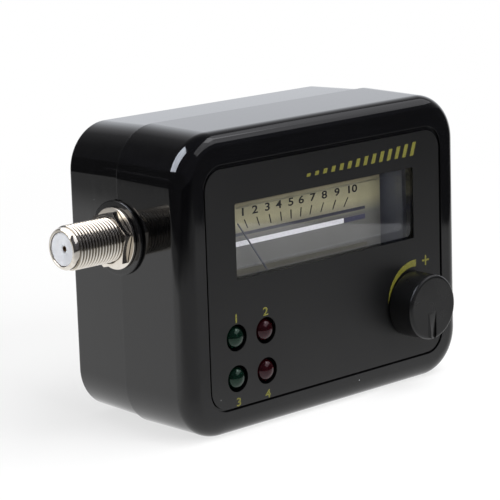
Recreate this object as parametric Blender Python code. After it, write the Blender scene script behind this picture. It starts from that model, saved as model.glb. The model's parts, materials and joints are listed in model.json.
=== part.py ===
"""Satellite signal meter: a two-part moulded case with a moving-coil meter, a level knob,
four indicator lamps and two threaded coaxial ports. Metres, +Z up, the face looks along -Y.
The origin is the middle of the whole object's footprint, on the surface it stands on."""

import math

import bmesh
import bpy
from mathutils import Matrix, Vector

# Fits
FIT_GAP = 0.0003
SEAT_GAP = 0.00015
OVERRUN = 0.001
SINK = 0.0003
TUCK = 0.0001

# Case, two shells that meet at the seam plane
CASE_WIDTH = 0.0843
CASE_HEIGHT = 0.065
FRONT_DEPTH = 0.020
REAR_DEPTH = 0.0169
CORNER_RADIUS = 0.0104
SEAM_STEP = 0.00045
WALL = 0.0022
PANEL_WALL = 0.0024
FRONT_ROUND = 0.0037
REAR_ROUND = 0.0008
TOP_DRAFT = 0.00045
REAR_SIDE_DRAFT = 0.0006
REAR_END_DRAFT = 0.0004
TONGUE_LENGTH = 0.0016
TONGUE_THICKNESS = 0.0009
FILLET_LIMIT_SHARE = 0.4
CORNER_STEPS = 7
ROUND_STEPS = 5
YOKE_SIDES = 32

# Label in its recess
RECESS_SIDE_MARGIN = 0.0061
RECESS_TOP_MARGIN = 0.00705
RECESS_FOOT_MARGIN = 0.00565
RECESS_SHIFT = 0.0002
RECESS_RADIUS = 0.005
RECESS_DEPTH = 0.0006
LABEL_THICKNESS = 0.0003
LABEL_SIDE_GAP = 0.00045
LABEL_TOP_GAP = 0.0009
LABEL_FOOT_GAP = 0.0004

# Window and meter case
WINDOW_SIDE_MARGIN = 0.0149
WINDOW_TOP_MARGIN = 0.0157
WINDOW_RADIUS = 0.0004
COVER_SETBACK = 0.0007
COVER_WALL = 0.0014
COVER_CORNER = 0.0012
METER_BORDER = 0.00225
METER_TOP_BORDER = 0.0018
METER_FOOT_GAP = 0.00175
METER_CORNER = 0.0008
FRAME_WALL = 0.0015
HEAD_DEPTH = 0.0093
EAR_REACH = 0.007
EAR_HEIGHT = 0.0058
EAR_RISE = 0.0012
EAR_THICKNESS = 0.0015

# Scale plate and needle
PLATE_SETBACK = 0.0098
PLATE_SIDE_GAP = 0.00065
PLATE_THICKNESS = 0.0005
PLATE_EDGE_GAP = 0.0003
PLATE_SCREW_INSET = 0.0051
PLATE_BOSS_RADIUS = 0.002
PIVOT_DROP = 0.01675
NEEDLE_LIFT = 0.0018
NEEDLE_TOP_GAP = 0.0002
NEEDLE_TAIL = 0.006
NEEDLE_ROOT = 0.0009
NEEDLE_TIP = 0.0003
NEEDLE_THICKNESS = 0.00025
NEEDLE_HUB_RADIUS = 0.0016
NEEDLE_REST_ANGLE = math.radians(36.0)

# Moving-coil movement
YOKE_RADIUS = 0.010
YOKE_BORE = 0.0061
YOKE_DEPTH = 0.005
YOKE_SETBACK = 0.0017
NECK_ROOM = 0.0005
CORE_RADIUS = 0.0043
CORE_SPACER_WIDTH = 0.002
COIL_CLEARANCE = 0.00045
COIL_WALL = 0.0007
COIL_WIDTH = 0.0024
COIL_END_GAP = 0.0004
SPINDLE_RADIUS = 0.0005
SPINDLE_GAP = 0.00012
HUB_ROOM = 0.0013
BRIDGE_THICKNESS = 0.0008
BRIDGE_WIDTH = 0.003
JEWEL_RADIUS = 0.0011
JEWEL_LENGTH = 0.0015
REAR_PIVOT_ROOM = 0.0007
FRAME_BACK_ROOM = 0.0005
SPRING_INNER_RADIUS = 0.0009
SPRING_PITCH = 0.0006
SPRING_WIRE_RADIUS = 0.00012
SPRING_TURNS = 3
SPRING_STEPS = 12

# Lamps
LAMP_SHIFT = 0.0021
LAMP_Z = 0.0121
LAMP_PITCH_X = 0.0085
LAMP_PITCH_Z = 0.0088
LAMP_HOLE_RADIUS = 0.00288
LAMP_RADIUS = 0.0025
LAMP_HEIGHT = 0.0086
LAMP_FLANGE_RADIUS = 0.0029
LAMP_FLANGE_HEIGHT = 0.001
LAMP_PROUD = 0.0012
LEAD_RADIUS = 0.00027
LEAD_PITCH = 0.00254

# Knob and level control
KNOB_SHIFT = 0.00025
KNOB_Z = 0.01855
KNOB_RADIUS = 0.00735
KNOB_PROUD = 0.0070
KNOB_PANEL_GAP = 0.0004
KNOB_WALL = 0.0012
KNOB_HUB_RADIUS = 0.0044
KNOB_HUB_SETBACK = 0.0005
KNOB_FACE = 0.0012
KNOB_WEB = 0.0018
KNOB_EDGE = 0.0006
POINTER_WIDTH = 0.0013
POINTER_RISE = 0.00035
POINTER_START = 0.001
POINTER_END = 0.00695
SHAFT_RADIUS = 0.003
SHAFT_GAP = 0.00015
SHAFT_FLAT = 0.0008
SHAFT_FLAT_LENGTH = 0.006
SHAFT_HOLE_RADIUS = 0.0036
CONTROL_RADIUS = 0.00825
CONTROL_DEPTH = 0.0075
CONTROL_LID = 0.0012
BUSH_RADIUS = 0.0037
BUSH_LENGTH = 0.0065

# Coaxial ports
PORT_DROP = 0.02283
PORT_REACH = 0.0154
PORT_THREAD_END = 0.0140
PORT_RADIUS = 0.00478
PORT_NECK_RADIUS = 0.00445
PORT_TIP_RADIUS = 0.0041
PORT_TIP_ROUND = 0.0005
PORT_BORE_RADIUS = 0.0036
PORT_FLANGE_RADIUS = 0.00575
PORT_FLANGE_THICKNESS = 0.0013
PORT_TAIL_RADIUS = 0.004
PORT_TAIL_LENGTH = 0.005
CORE_GAP = 0.0001
CORE_SETBACK = 0.0002
CONTACT_HOLE_RADIUS = 0.00055
CONTACT_RADIUS = 0.00045
CONTACT_SETBACK = 0.004
CONTACT_TAIL = 0.0035
CONTACT_BEND = 0.001
RING_RADIUS = 0.0080
RING_THICKNESS = 0.0006
WASHER_RADIUS = 0.00666
WASHER_THICKNESS = 0.0006
NUT_ACROSS_FLATS = 0.011
NUT_THICKNESS = 0.0017
NUT_CHAMFER = 0.0004
NUT_TURN = math.radians(46.5)

# Circuit board and what is on it
BOARD_THICKNESS = 0.0016
BOARD_MARGIN = 0.0025
BOARD_NOTCH = 0.0072
BOARD_PORT_GAP = 0.0012
BOARD_POST_INSET = 0.003
BOARD_POST_RADIUS = 0.0025
CAN_SIDE_MARGIN = 0.015
CAN_FOOT_MARGIN = 0.002
CAN_TOP_MARGIN = 0.0075
CAN_DEPTH = 0.0050
CAN_SHEET = 0.0005
BUZZER_RADIUS = 0.006
BUZZER_HEIGHT = 0.0068
BUZZER_HOLE_RADIUS = 0.001
BUZZER_MARGIN = 0.017
BUZZER_Z = 0.022
CHIP_WIDTH = 0.0088
CHIP_HEIGHT = 0.0062
CHIP_DEPTH = 0.0022
CHIP_X = 0.004
CHIP_Z = 0.020
CHIP_PITCH = 0.014
CAPACITOR_RADIUS = 0.0025
CAPACITOR_HEIGHT = 0.0065
CAPACITOR_MARGIN = 0.0105
CAPACITOR_Z = 0.018
CAPACITOR_PITCH = 0.008
CHOKE_RADIUS = 0.0032
CHOKE_HEIGHT = 0.005
CHOKE_FLANGE = 0.001
CHOKE_WAIST_RADIUS = 0.0025
CHOKE_MARGIN = 0.015
CHOKE_RISE = 0.0023

# Screws
POST_RADIUS = 0.0035
PILOT_RADIUS = 0.0014
TUBE_RADIUS = 0.0037
TUBE_FLOOR = 0.0045
TUBE_HOLE_RADIUS = 0.0017
WELL_RADIUS = 0.003
CASE_SCREW_RADIUS = 0.00125
CASE_SCREW_LENGTH = 0.014
CASE_SCREW_HEAD_RADIUS = 0.0026
CASE_SCREW_HEAD = 0.0018
SMALL_SCREW_RADIUS = 0.0008
SMALL_SCREW_LENGTH = 0.0042
SMALL_SCREW_HEAD_RADIUS = 0.0017
SMALL_SCREW_HEAD = 0.001
SCREW_CROWN_SHARE = 0.4
SMALL_HOLE_RADIUS = 0.001
EAR_POST_RADIUS = 0.0024

# Planes along Y
FRONT_REACH = FRONT_DEPTH + KNOB_PROUD + POINTER_RISE
SEAM_Y = (FRONT_REACH - REAR_DEPTH) / 2
FACE_Y = SEAM_Y - FRONT_DEPTH
RECESS_Y = FACE_Y + RECESS_DEPTH
PANEL_Y = FACE_Y + PANEL_WALL
BACK_Y = SEAM_Y + REAR_DEPTH
BACK_INNER_Y = BACK_Y - WALL
LABEL_BACK_Y = RECESS_Y - (RECESS_DEPTH - LABEL_THICKNESS) / 2
COVER_FACE_Y = FACE_Y + COVER_SETBACK
COVER_FLANGE_Y = PANEL_Y + FIT_GAP
COVER_BACK_Y = COVER_FLANGE_Y + COVER_WALL
FRAME_FRONT_Y = COVER_BACK_Y + SEAT_GAP
HEAD_BACK_Y = FRAME_FRONT_Y + HEAD_DEPTH
PLATE_Y = FACE_Y + PLATE_SETBACK
PLATE_BACK_Y = PLATE_Y + PLATE_THICKNESS
NEEDLE_Y = PLATE_Y - NEEDLE_LIFT
YOKE_Y = PLATE_BACK_Y + YOKE_SETBACK
YOKE_BACK_Y = YOKE_Y + YOKE_DEPTH
COIL_FRONT_Y = YOKE_Y - COIL_END_GAP - COIL_WALL
COIL_BACK_Y = YOKE_BACK_Y + COIL_END_GAP + COIL_WALL
FRONT_BRIDGE_Y = NEEDLE_Y - HUB_ROOM
REAR_BRIDGE_Y = COIL_BACK_Y + REAR_PIVOT_ROOM
FRAME_INNER_Y = REAR_BRIDGE_Y + BRIDGE_THICKNESS + FRAME_BACK_ROOM
FRAME_BACK_Y = FRAME_INNER_Y + FRAME_WALL
BOARD_Y = SEAM_Y + PORT_TAIL_RADIUS + BOARD_PORT_GAP
BOARD_BACK_Y = BOARD_Y + BOARD_THICKNESS
KNOB_FACE_Y = FACE_Y - KNOB_PROUD
TONGUE_Y = SEAM_Y + TONGUE_LENGTH
POST_END_Y = TONGUE_Y - SEAT_GAP
KNOB_BACK_Y = FACE_Y - KNOB_PANEL_GAP

# Places in the XZ plane
HALF_WIDTH = CASE_WIDTH / 2
INSET = SEAM_STEP + WALL
INNER_RADIUS = CORNER_RADIUS - INSET
POST_REACH = (INNER_RADIUS - POST_RADIUS + SINK) / math.sqrt(2)
POST_X = HALF_WIDTH - CORNER_RADIUS + POST_REACH
POST_LOW_Z = CORNER_RADIUS - POST_REACH
POST_HIGH_Z = CASE_HEIGHT - CORNER_RADIUS + POST_REACH
RECESS_LEFT = RECESS_SHIFT - HALF_WIDTH + RECESS_SIDE_MARGIN
RECESS_RIGHT = RECESS_SHIFT + HALF_WIDTH - RECESS_SIDE_MARGIN
RECESS_TOP = CASE_HEIGHT - RECESS_TOP_MARGIN
WINDOW_HALF = HALF_WIDTH - WINDOW_SIDE_MARGIN
WINDOW_TOP = CASE_HEIGHT - WINDOW_TOP_MARGIN
PLATE_HALF = WINDOW_HALF - PLATE_SIDE_GAP
PORT_HEIGHT = CASE_HEIGHT - PORT_DROP
NECK_HALF = YOKE_RADIUS + NECK_ROOM + FRAME_WALL
NECK_FOOT = INSET + METER_FOOT_GAP
PIVOT_Z = NECK_FOOT + NECK_HALF
WINDOW_FOOT = PIVOT_Z + PIVOT_DROP
NEEDLE_LENGTH = WINDOW_TOP - NEEDLE_TOP_GAP - PIVOT_Z
HEAD_HALF = WINDOW_HALF + METER_BORDER
HEAD_TOP = WINDOW_TOP + METER_TOP_BORDER
SHOULDER_Z = PIVOT_Z + YOKE_RADIUS + NECK_ROOM
HEAD_FOOT = SHOULDER_Z - FRAME_WALL
EAR_Z = HEAD_FOOT + EAR_RISE + EAR_HEIGHT / 2
EAR_SCREW_X = HEAD_HALF + EAR_REACH / 2
SIDE_ROOM_X = (NECK_HALF + HALF_WIDTH - INSET) / 2
KNOB_X = SIDE_ROOM_X - KNOB_SHIFT
LAMP_X = SIDE_ROOM_X - LAMP_SHIFT
BOARD_HALF = HALF_WIDTH - INSET - BOARD_MARGIN
BOARD_FOOT = INSET + BOARD_MARGIN
BOARD_TOP = CASE_HEIGHT - INSET - BOARD_MARGIN
BOARD_POST_X = BOARD_HALF - BOARD_POST_INSET
BOARD_POST_Z = (KNOB_Z + CONTROL_RADIUS + PORT_HEIGHT - PORT_FLANGE_RADIUS) / 2
CAN_FOOT = SHOULDER_Z + FRAME_WALL + CAN_FOOT_MARGIN
CAN_TOP = BOARD_TOP - CAN_TOP_MARGIN
CAN_HALF = BOARD_HALF - CAN_SIDE_MARGIN
BUZZER_X = BUZZER_MARGIN - BOARD_HALF
CAPACITOR_X = BOARD_HALF - CAPACITOR_MARGIN
CHOKE_X = BOARD_HALF - CHOKE_MARGIN


def finish(name, colour, roughness, metallic=0.0, alpha=1.0):
    """A plain Principled material."""
    material = bpy.data.materials.new(name)
    material.use_nodes = True
    shader = material.node_tree.nodes["Principled BSDF"]
    shader.inputs["Base Color"].default_value = (*colour, 1.0)
    shader.inputs["Roughness"].default_value = roughness
    shader.inputs["Metallic"].default_value = metallic
    shader.inputs["Alpha"].default_value = alpha
    return material


def build_finishes():
    """One material for each stuff that the object is made of."""
    return {
        "gloss_black": finish("gloss_black", (0.012, 0.012, 0.013), 0.12),
        "satin_black": finish("satin_black", (0.02, 0.02, 0.021), 0.45),
        "label": finish("label", (0.032, 0.032, 0.033), 0.55),
        "clear": finish("clear", (0.9, 0.92, 0.95), 0.03, alpha=0.2),
        "plate": finish("plate", (0.36, 0.34, 0.25), 0.55),
        "needle": finish("needle", (0.03, 0.03, 0.035), 0.4),
        "iron": finish("iron", (0.42, 0.41, 0.4), 0.45, 1.0),
        "magnet": finish("magnet", (0.2, 0.2, 0.2), 0.5, 1.0),
        "copper": finish("copper", (0.6, 0.27, 0.14), 0.35, 1.0),
        "brass": finish("brass", (0.66, 0.5, 0.25), 0.35, 1.0),
        "tin": finish("tin", (0.7, 0.7, 0.69), 0.3, 1.0),
        "nickel": finish("nickel", (0.72, 0.7, 0.66), 0.22, 1.0),
        "steel": finish("steel", (0.5, 0.5, 0.5), 0.35, 1.0),
        "green": finish("green", (0.01, 0.09, 0.05), 0.08),
        "red": finish("red", (0.14, 0.008, 0.02), 0.08),
        "white": finish("white", (0.72, 0.75, 0.82), 0.5),
        "rubber": finish("rubber", (0.015, 0.015, 0.015), 0.3),
        "board": finish("board", (0.02, 0.16, 0.07), 0.45),
        "chip": finish("chip", (0.02, 0.02, 0.02), 0.6),
        "ferrite": finish("ferrite", (0.09, 0.09, 0.1), 0.7),
        "sleeve": finish("sleeve", (0.02, 0.05, 0.2), 0.35),
    }


def rounded_outline(low_x, high_x, low_z, high_z, radius, steps=CORNER_STEPS):
    """Points of a rectangle with round corners in the XZ plane, counter-clockwise."""
    corners = (
        (high_x - radius, high_z - radius, 0.0),
        (low_x + radius, high_z - radius, 0.5 * math.pi),
        (low_x + radius, low_z + radius, math.pi),
        (high_x - radius, low_z + radius, 1.5 * math.pi),
    )
    points = []
    for centre_x, centre_z, start in corners:
        for step in range(steps + 1):
            turn = start + 0.5 * math.pi * step / steps
            points.append((centre_x + radius * math.cos(turn), centre_z + radius * math.sin(turn)))
    return points


def at_depth(outline, y):
    """An XZ outline as points at one depth."""
    return [Vector((x, y, z)) for x, z in outline]


def add_loft(bm, rings):
    """Skin between closed rings of equal point count, capped at both ends."""
    rows = [[bm.verts.new(point) for point in ring] for ring in rings]
    count = len(rows[0])
    for near, far in zip(rows, rows[1:]):
        for index in range(count):
            after = (index + 1) % count
            bm.faces.new((near[index], near[after], far[after], far[index]))
    skin = [face for row in rows for vert in row for face in vert.link_faces]
    bmesh.ops.triangulate(bm, faces=list(dict.fromkeys(skin)))
    bm.faces.new(rows[0][::-1])
    bm.faces.new(rows[-1])


def add_prism(bm, outline, near_y, far_y):
    """An XZ outline extruded along Y."""
    add_loft(bm, [at_depth(outline, near_y), at_depth(outline, far_y)])


def add_box(bm, low, high):
    """A box between two corners."""
    outline = [(low[0], low[2]), (high[0], low[2]), (high[0], high[2]), (low[0], high[2])]
    add_prism(bm, outline, low[1], high[1])


def add_turned(bm, profile, centre, axis, sides, closed=False):
    """Spin a (station, radius) profile once round an axis through the centre. A closed
    profile is a ring's section; an open one starts and ends on the axis."""
    along = Vector((1, 0, 0)) if axis == "X" else Vector((0, 1, 0))
    outward = Matrix.Rotation(math.pi / sides, 3, along) @ Vector((0, 0, 1))
    foot = Vector(centre) - along * Vector(centre).dot(along)
    verts = [bm.verts.new(foot + along * station + outward * radius) for station, radius in profile]
    edges = [bm.edges.new(pair) for pair in zip(verts, verts[1:])]
    if closed:
        edges.append(bm.edges.new((verts[-1], verts[0])))
    before = set(bm.verts) - set(verts)
    bmesh.ops.spin(
        bm, geom=verts + edges, cent=foot, axis=along, angle=2.0 * math.pi, steps=sides
    )
    fresh = [vert for vert in bm.verts if vert not in before]
    bmesh.ops.remove_doubles(bm, verts=fresh, dist=min(CORE_GAP, SEAT_GAP) / sides)


def add_rod(bm, centre, axis, start, end, radius, sides=16):
    """A plain round rod along an axis."""
    profile = [(start, 0.0), (start, radius), (end, radius), (end, 0.0)]
    add_turned(bm, profile, centre, axis, sides)


def add_tube(bm, path, radius, sides=6):
    """A round wire along a list of points, capped at both ends."""
    rings = []
    for index, point in enumerate(path):
        before = path[max(index - 1, 0)]
        after = path[min(index + 1, len(path) - 1)]
        heading = (after - before).normalized()
        frame = heading.to_track_quat("Z", "Y").to_matrix()
        ring = []
        for side in range(sides):
            turn = 2.0 * math.pi * side / sides
            spoke = Vector((radius * math.cos(turn), radius * math.sin(turn), 0.0))
            ring.append(point + frame @ spoke)
        rings.append(ring)
    add_loft(bm, rings)


def make_object(name, bm, material, pivot=None, smooth_angle=35.0):
    """Turn a bmesh into a linked object, with its origin on the pivot when one is given."""
    bmesh.ops.recalc_face_normals(bm, faces=bm.faces)
    mesh = bpy.data.meshes.new(name)
    bm.to_mesh(mesh)
    bm.free()
    mesh.shade_smooth()
    mesh.set_sharp_from_angle(angle=math.radians(smooth_angle))
    thing = bpy.data.objects.new(name, mesh)
    if pivot is not None:
        mesh.transform(Matrix.Translation(-Vector(pivot)))
        thing.location = pivot
    if material is not None:
        mesh.materials.append(material)
    bpy.context.scene.collection.objects.link(thing)
    return thing


def place_copies(names, places, bm, material):
    """One mesh, modelled on the Y axis, shared by an object at each XZ place."""
    first = None
    for name, (x, z) in zip(names, places):
        if first is None:
            first = make_object(name, bm, material)
            thing = first
        else:
            thing = bpy.data.objects.new(name, first.data)
            bpy.context.scene.collection.objects.link(thing)
        thing.location = (x, 0, z)


def numbered(name, count):
    """Names of a group's members, counted from one."""
    return [f"{name}_{index + 1}" for index in range(count)]


def apply_tool(target, bm, name, operation="DIFFERENCE"):
    """Cut or join a hidden tool body with a Boolean modifier."""
    tool = make_object(name, bm, None)
    tool.hide_render = True
    tool.display_type = "WIRE"
    modifier = target.modifiers.new(name, "BOOLEAN")
    modifier.operation = operation
    modifier.solver = "EXACT"
    modifier.object = tool


def post_places():
    """The four corner posts' axes."""
    return [(side * POST_X, z) for side in (-1, 1) for z in (POST_LOW_Z, POST_HIGH_Z)]


def board_post_places():
    """The two board posts, between the level control and the ports."""
    return [(-BOARD_POST_X, BOARD_POST_Z), (BOARD_POST_X, BOARD_POST_Z)]


def lamp_places():
    """Lamp axes: green in the outer column, red in the inner one."""
    outer, inner = -LAMP_X - LAMP_PITCH_X / 2, -LAMP_X + LAMP_PITCH_X / 2
    upper, lower = LAMP_Z + LAMP_PITCH_Z, LAMP_Z
    return {
        "lamp_green_upper": (outer, upper),
        "lamp_green_lower": (outer, lower),
        "lamp_red_upper": (inner, upper),
        "lamp_red_lower": (inner, lower),
    }


def case_outline(inset, low_drop=0.0, top_drop=0.0, side_drop=0.0, corner=None):
    """The case outline, drawn in by an inset and by drafts."""
    radius = CORNER_RADIUS - inset if corner is None else corner
    half = HALF_WIDTH - inset - side_drop
    return rounded_outline(
        -half, half, inset + low_drop, CASE_HEIGHT - inset - top_drop, radius
    )


def window_outline(grow, radius=WINDOW_RADIUS):
    """The window opening, grown or shrunk evenly; its height limits the corner radius."""
    half = WINDOW_HALF + grow
    foot, top = WINDOW_FOOT - grow, WINDOW_TOP + grow
    corner = min(radius, FILLET_LIMIT_SHARE * (top - foot))
    return rounded_outline(-half, half, foot, top, corner, steps=3)


def port_seats(bm):
    """Round seats across the seam that the two ports sit in."""
    radius = PORT_RADIUS + FIT_GAP
    near = HALF_WIDTH - INSET - OVERRUN
    far = HALF_WIDTH + OVERRUN
    for side in (-1, 1):
        add_rod(bm, (0, SEAM_Y, PORT_HEIGHT), "X", side * near, side * far, radius, sides=24)


def front_shell(material):
    """Front shell: rounded front edge, tongue at the seam, label recess, openings, posts."""
    bm = bmesh.new()
    tongue_inset = INSET - TONGUE_THICKNESS
    rings = [
        at_depth(case_outline(tongue_inset), TONGUE_Y),
        at_depth(case_outline(tongue_inset), SEAM_Y),
        at_depth(case_outline(0.0), SEAM_Y),
    ]
    for step in range(ROUND_STEPS + 1):
        turn = 0.5 * math.pi * step / ROUND_STEPS
        inset = FRONT_ROUND * (1.0 - math.cos(turn))
        depth = FRONT_DEPTH - FRONT_ROUND * (1.0 - math.sin(turn))
        drop = TOP_DRAFT * depth / FRONT_DEPTH
        rings.append(at_depth(case_outline(inset, top_drop=drop), SEAM_Y - depth))
    add_loft(bm, rings)
    shell = make_object("front_shell", bm, material)

    bm = bmesh.new()
    inner = case_outline(INSET)
    deep = case_outline(INSET, top_drop=TOP_DRAFT)
    mouth_y = TONGUE_Y + OVERRUN
    add_loft(bm, [at_depth(inner, mouth_y), at_depth(inner, SEAM_Y), at_depth(deep, PANEL_Y)])
    apply_tool(shell, bm, "front_cavity")

    bm = bmesh.new()
    for x, z in post_places():
        add_rod(bm, (x, 0, z), "Y", PANEL_Y - SINK, POST_END_Y, POST_RADIUS)
    for side in (-1, 1):
        centre = (side * EAR_SCREW_X, 0, EAR_Z)
        add_rod(bm, centre, "Y", PANEL_Y - SINK, FRAME_FRONT_Y - SEAT_GAP, EAR_POST_RADIUS)
    apply_tool(shell, bm, "front_posts", "UNION")

    bm = bmesh.new()
    recess = rounded_outline(
        RECESS_LEFT, RECESS_RIGHT, RECESS_FOOT_MARGIN, RECESS_TOP, RECESS_RADIUS
    )
    add_prism(bm, recess, FACE_Y - OVERRUN, RECESS_Y)
    apply_tool(shell, bm, "label_recess")

    bm = bmesh.new()
    near, far = RECESS_Y - OVERRUN, PANEL_Y + OVERRUN
    add_prism(bm, window_outline(0.0), near, far)
    for x, z in lamp_places().values():
        add_rod(bm, (x, 0, z), "Y", near, far, LAMP_HOLE_RADIUS, sides=24)
    add_rod(bm, (KNOB_X, 0, KNOB_Z), "Y", near, far, SHAFT_HOLE_RADIUS, sides=24)
    for x, z in post_places():
        depth = SEAM_Y + TUBE_FLOOR - CASE_SCREW_LENGTH - OVERRUN
        add_rod(bm, (x, 0, z), "Y", depth, POST_END_Y + OVERRUN, PILOT_RADIUS, sides=12)
    for side in (-1, 1):
        centre = (side * EAR_SCREW_X, 0, EAR_Z)
        depth = FRAME_FRONT_Y + EAR_THICKNESS - SMALL_SCREW_LENGTH
        add_rod(bm, centre, "Y", depth, FRAME_FRONT_Y + OVERRUN, SMALL_HOLE_RADIUS, sides=12)
    port_seats(bm)
    apply_tool(shell, bm, "front_openings")
    return shell


def rear_shell(material):
    """Rear shell: a step in from the front one, with screw wells and board posts."""
    bm = bmesh.new()
    flat_depth = REAR_DEPTH - REAR_ROUND
    rings = [at_depth(case_outline(SEAM_STEP), SEAM_Y)]
    for step in range(ROUND_STEPS - 1):
        turn = 0.5 * math.pi * step / (ROUND_STEPS - 2)
        inset = SEAM_STEP + REAR_ROUND * (1.0 - math.cos(turn))
        depth = flat_depth + REAR_ROUND * math.sin(turn)
        share = depth / REAR_DEPTH
        outline = case_outline(
            inset, REAR_END_DRAFT * share, REAR_END_DRAFT * share, REAR_SIDE_DRAFT * share
        )
        rings.append(at_depth(outline, SEAM_Y + depth))
    add_loft(bm, rings)
    shell = make_object("rear_shell", bm, material)

    bm = bmesh.new()
    rebate = case_outline(INSET - TONGUE_THICKNESS - FIT_GAP)
    inner = case_outline(INSET)
    deep = case_outline(INSET, REAR_END_DRAFT, REAR_END_DRAFT, REAR_SIDE_DRAFT)
    rebate_y = TONGUE_Y + FIT_GAP
    add_loft(bm, [
        at_depth(rebate, SEAM_Y - OVERRUN),
        at_depth(rebate, rebate_y),
        at_depth(inner, rebate_y),
        at_depth(deep, BACK_INNER_Y),
    ])
    apply_tool(shell, bm, "rear_cavity")

    bm = bmesh.new()
    for x, z in post_places():
        add_rod(bm, (x, 0, z), "Y", TONGUE_Y + FIT_GAP, BACK_INNER_Y + SINK, TUBE_RADIUS)
    for x, z in board_post_places():
        start, end = BOARD_BACK_Y + SEAT_GAP, BACK_INNER_Y + SINK
        add_rod(bm, (x, 0, z), "Y", start, end, BOARD_POST_RADIUS)
    apply_tool(shell, bm, "rear_posts", "UNION")

    bm = bmesh.new()
    seat_y = SEAM_Y + TUBE_FLOOR
    well = [
        (SEAM_Y - OVERRUN, 0.0),
        (SEAM_Y - OVERRUN, TUBE_HOLE_RADIUS),
        (seat_y, TUBE_HOLE_RADIUS),
        (seat_y, WELL_RADIUS),
        (BACK_Y + OVERRUN, WELL_RADIUS),
        (BACK_Y + OVERRUN, 0.0),
    ]
    for x, z in post_places():
        add_turned(bm, well, (x, 0, z), "Y", 20)
    for x, z in board_post_places():
        depth = BOARD_Y + SMALL_SCREW_LENGTH + SEAT_GAP
        add_rod(bm, (x, 0, z), "Y", BOARD_BACK_Y - OVERRUN, depth, SMALL_HOLE_RADIUS, sides=12)
    port_seats(bm)
    apply_tool(shell, bm, "rear_openings")
    return shell


def front_label(material):
    """Printed front sheet with the window, lamp and shaft openings."""
    bm = bmesh.new()
    outline = rounded_outline(
        RECESS_LEFT + LABEL_SIDE_GAP, RECESS_RIGHT - LABEL_SIDE_GAP,
        RECESS_FOOT_MARGIN + LABEL_FOOT_GAP, RECESS_TOP - LABEL_TOP_GAP,
        RECESS_RADIUS - LABEL_SIDE_GAP,
    )
    add_prism(bm, outline, LABEL_BACK_Y - LABEL_THICKNESS, LABEL_BACK_Y)
    label = make_object("front_label", bm, material)
    bm = bmesh.new()
    near, far = FACE_Y - OVERRUN, PANEL_Y
    add_prism(bm, window_outline(0.0), near, far)
    for x, z in lamp_places().values():
        add_rod(bm, (x, 0, z), "Y", near, far, LAMP_HOLE_RADIUS, sides=24)
    add_rod(bm, (KNOB_X, 0, KNOB_Z), "Y", near, far, SHAFT_HOLE_RADIUS, sides=24)
    apply_tool(label, bm, "label_openings")
    return label


def meter_outline(inset):
    """The T-shaped outline of the meter: a wide head over a narrow neck."""
    head = HEAD_HALF - inset
    neck = NECK_HALF - inset
    return [
        (-neck, NECK_FOOT + inset),
        (neck, NECK_FOOT + inset),
        (neck, HEAD_FOOT + inset),
        (head, HEAD_FOOT + inset),
        (head, HEAD_TOP - inset),
        (-head, HEAD_TOP - inset),
        (-head, HEAD_FOOT + inset),
        (-neck, HEAD_FOOT + inset),
    ]


def meter_cover(material):
    """Clear cover whose raised window stands in the case opening."""
    bm = bmesh.new()
    add_prism(bm, meter_outline(0.0), COVER_FLANGE_Y, COVER_BACK_Y)
    cover = make_object("meter_cover", bm, material)
    bm = bmesh.new()
    raised = window_outline(-FIT_GAP, COVER_CORNER)
    middle_y = (COVER_FLANGE_Y + COVER_BACK_Y) / 2
    add_prism(bm, raised, COVER_FACE_Y, middle_y)
    apply_tool(cover, bm, "raised_window", "UNION")
    bm = bmesh.new()
    hollow = window_outline(-FIT_GAP - COVER_WALL, COVER_CORNER)
    add_prism(bm, hollow, COVER_FACE_Y + COVER_WALL, COVER_BACK_Y + OVERRUN)
    apply_tool(cover, bm, "window_hollow")
    return cover


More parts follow.
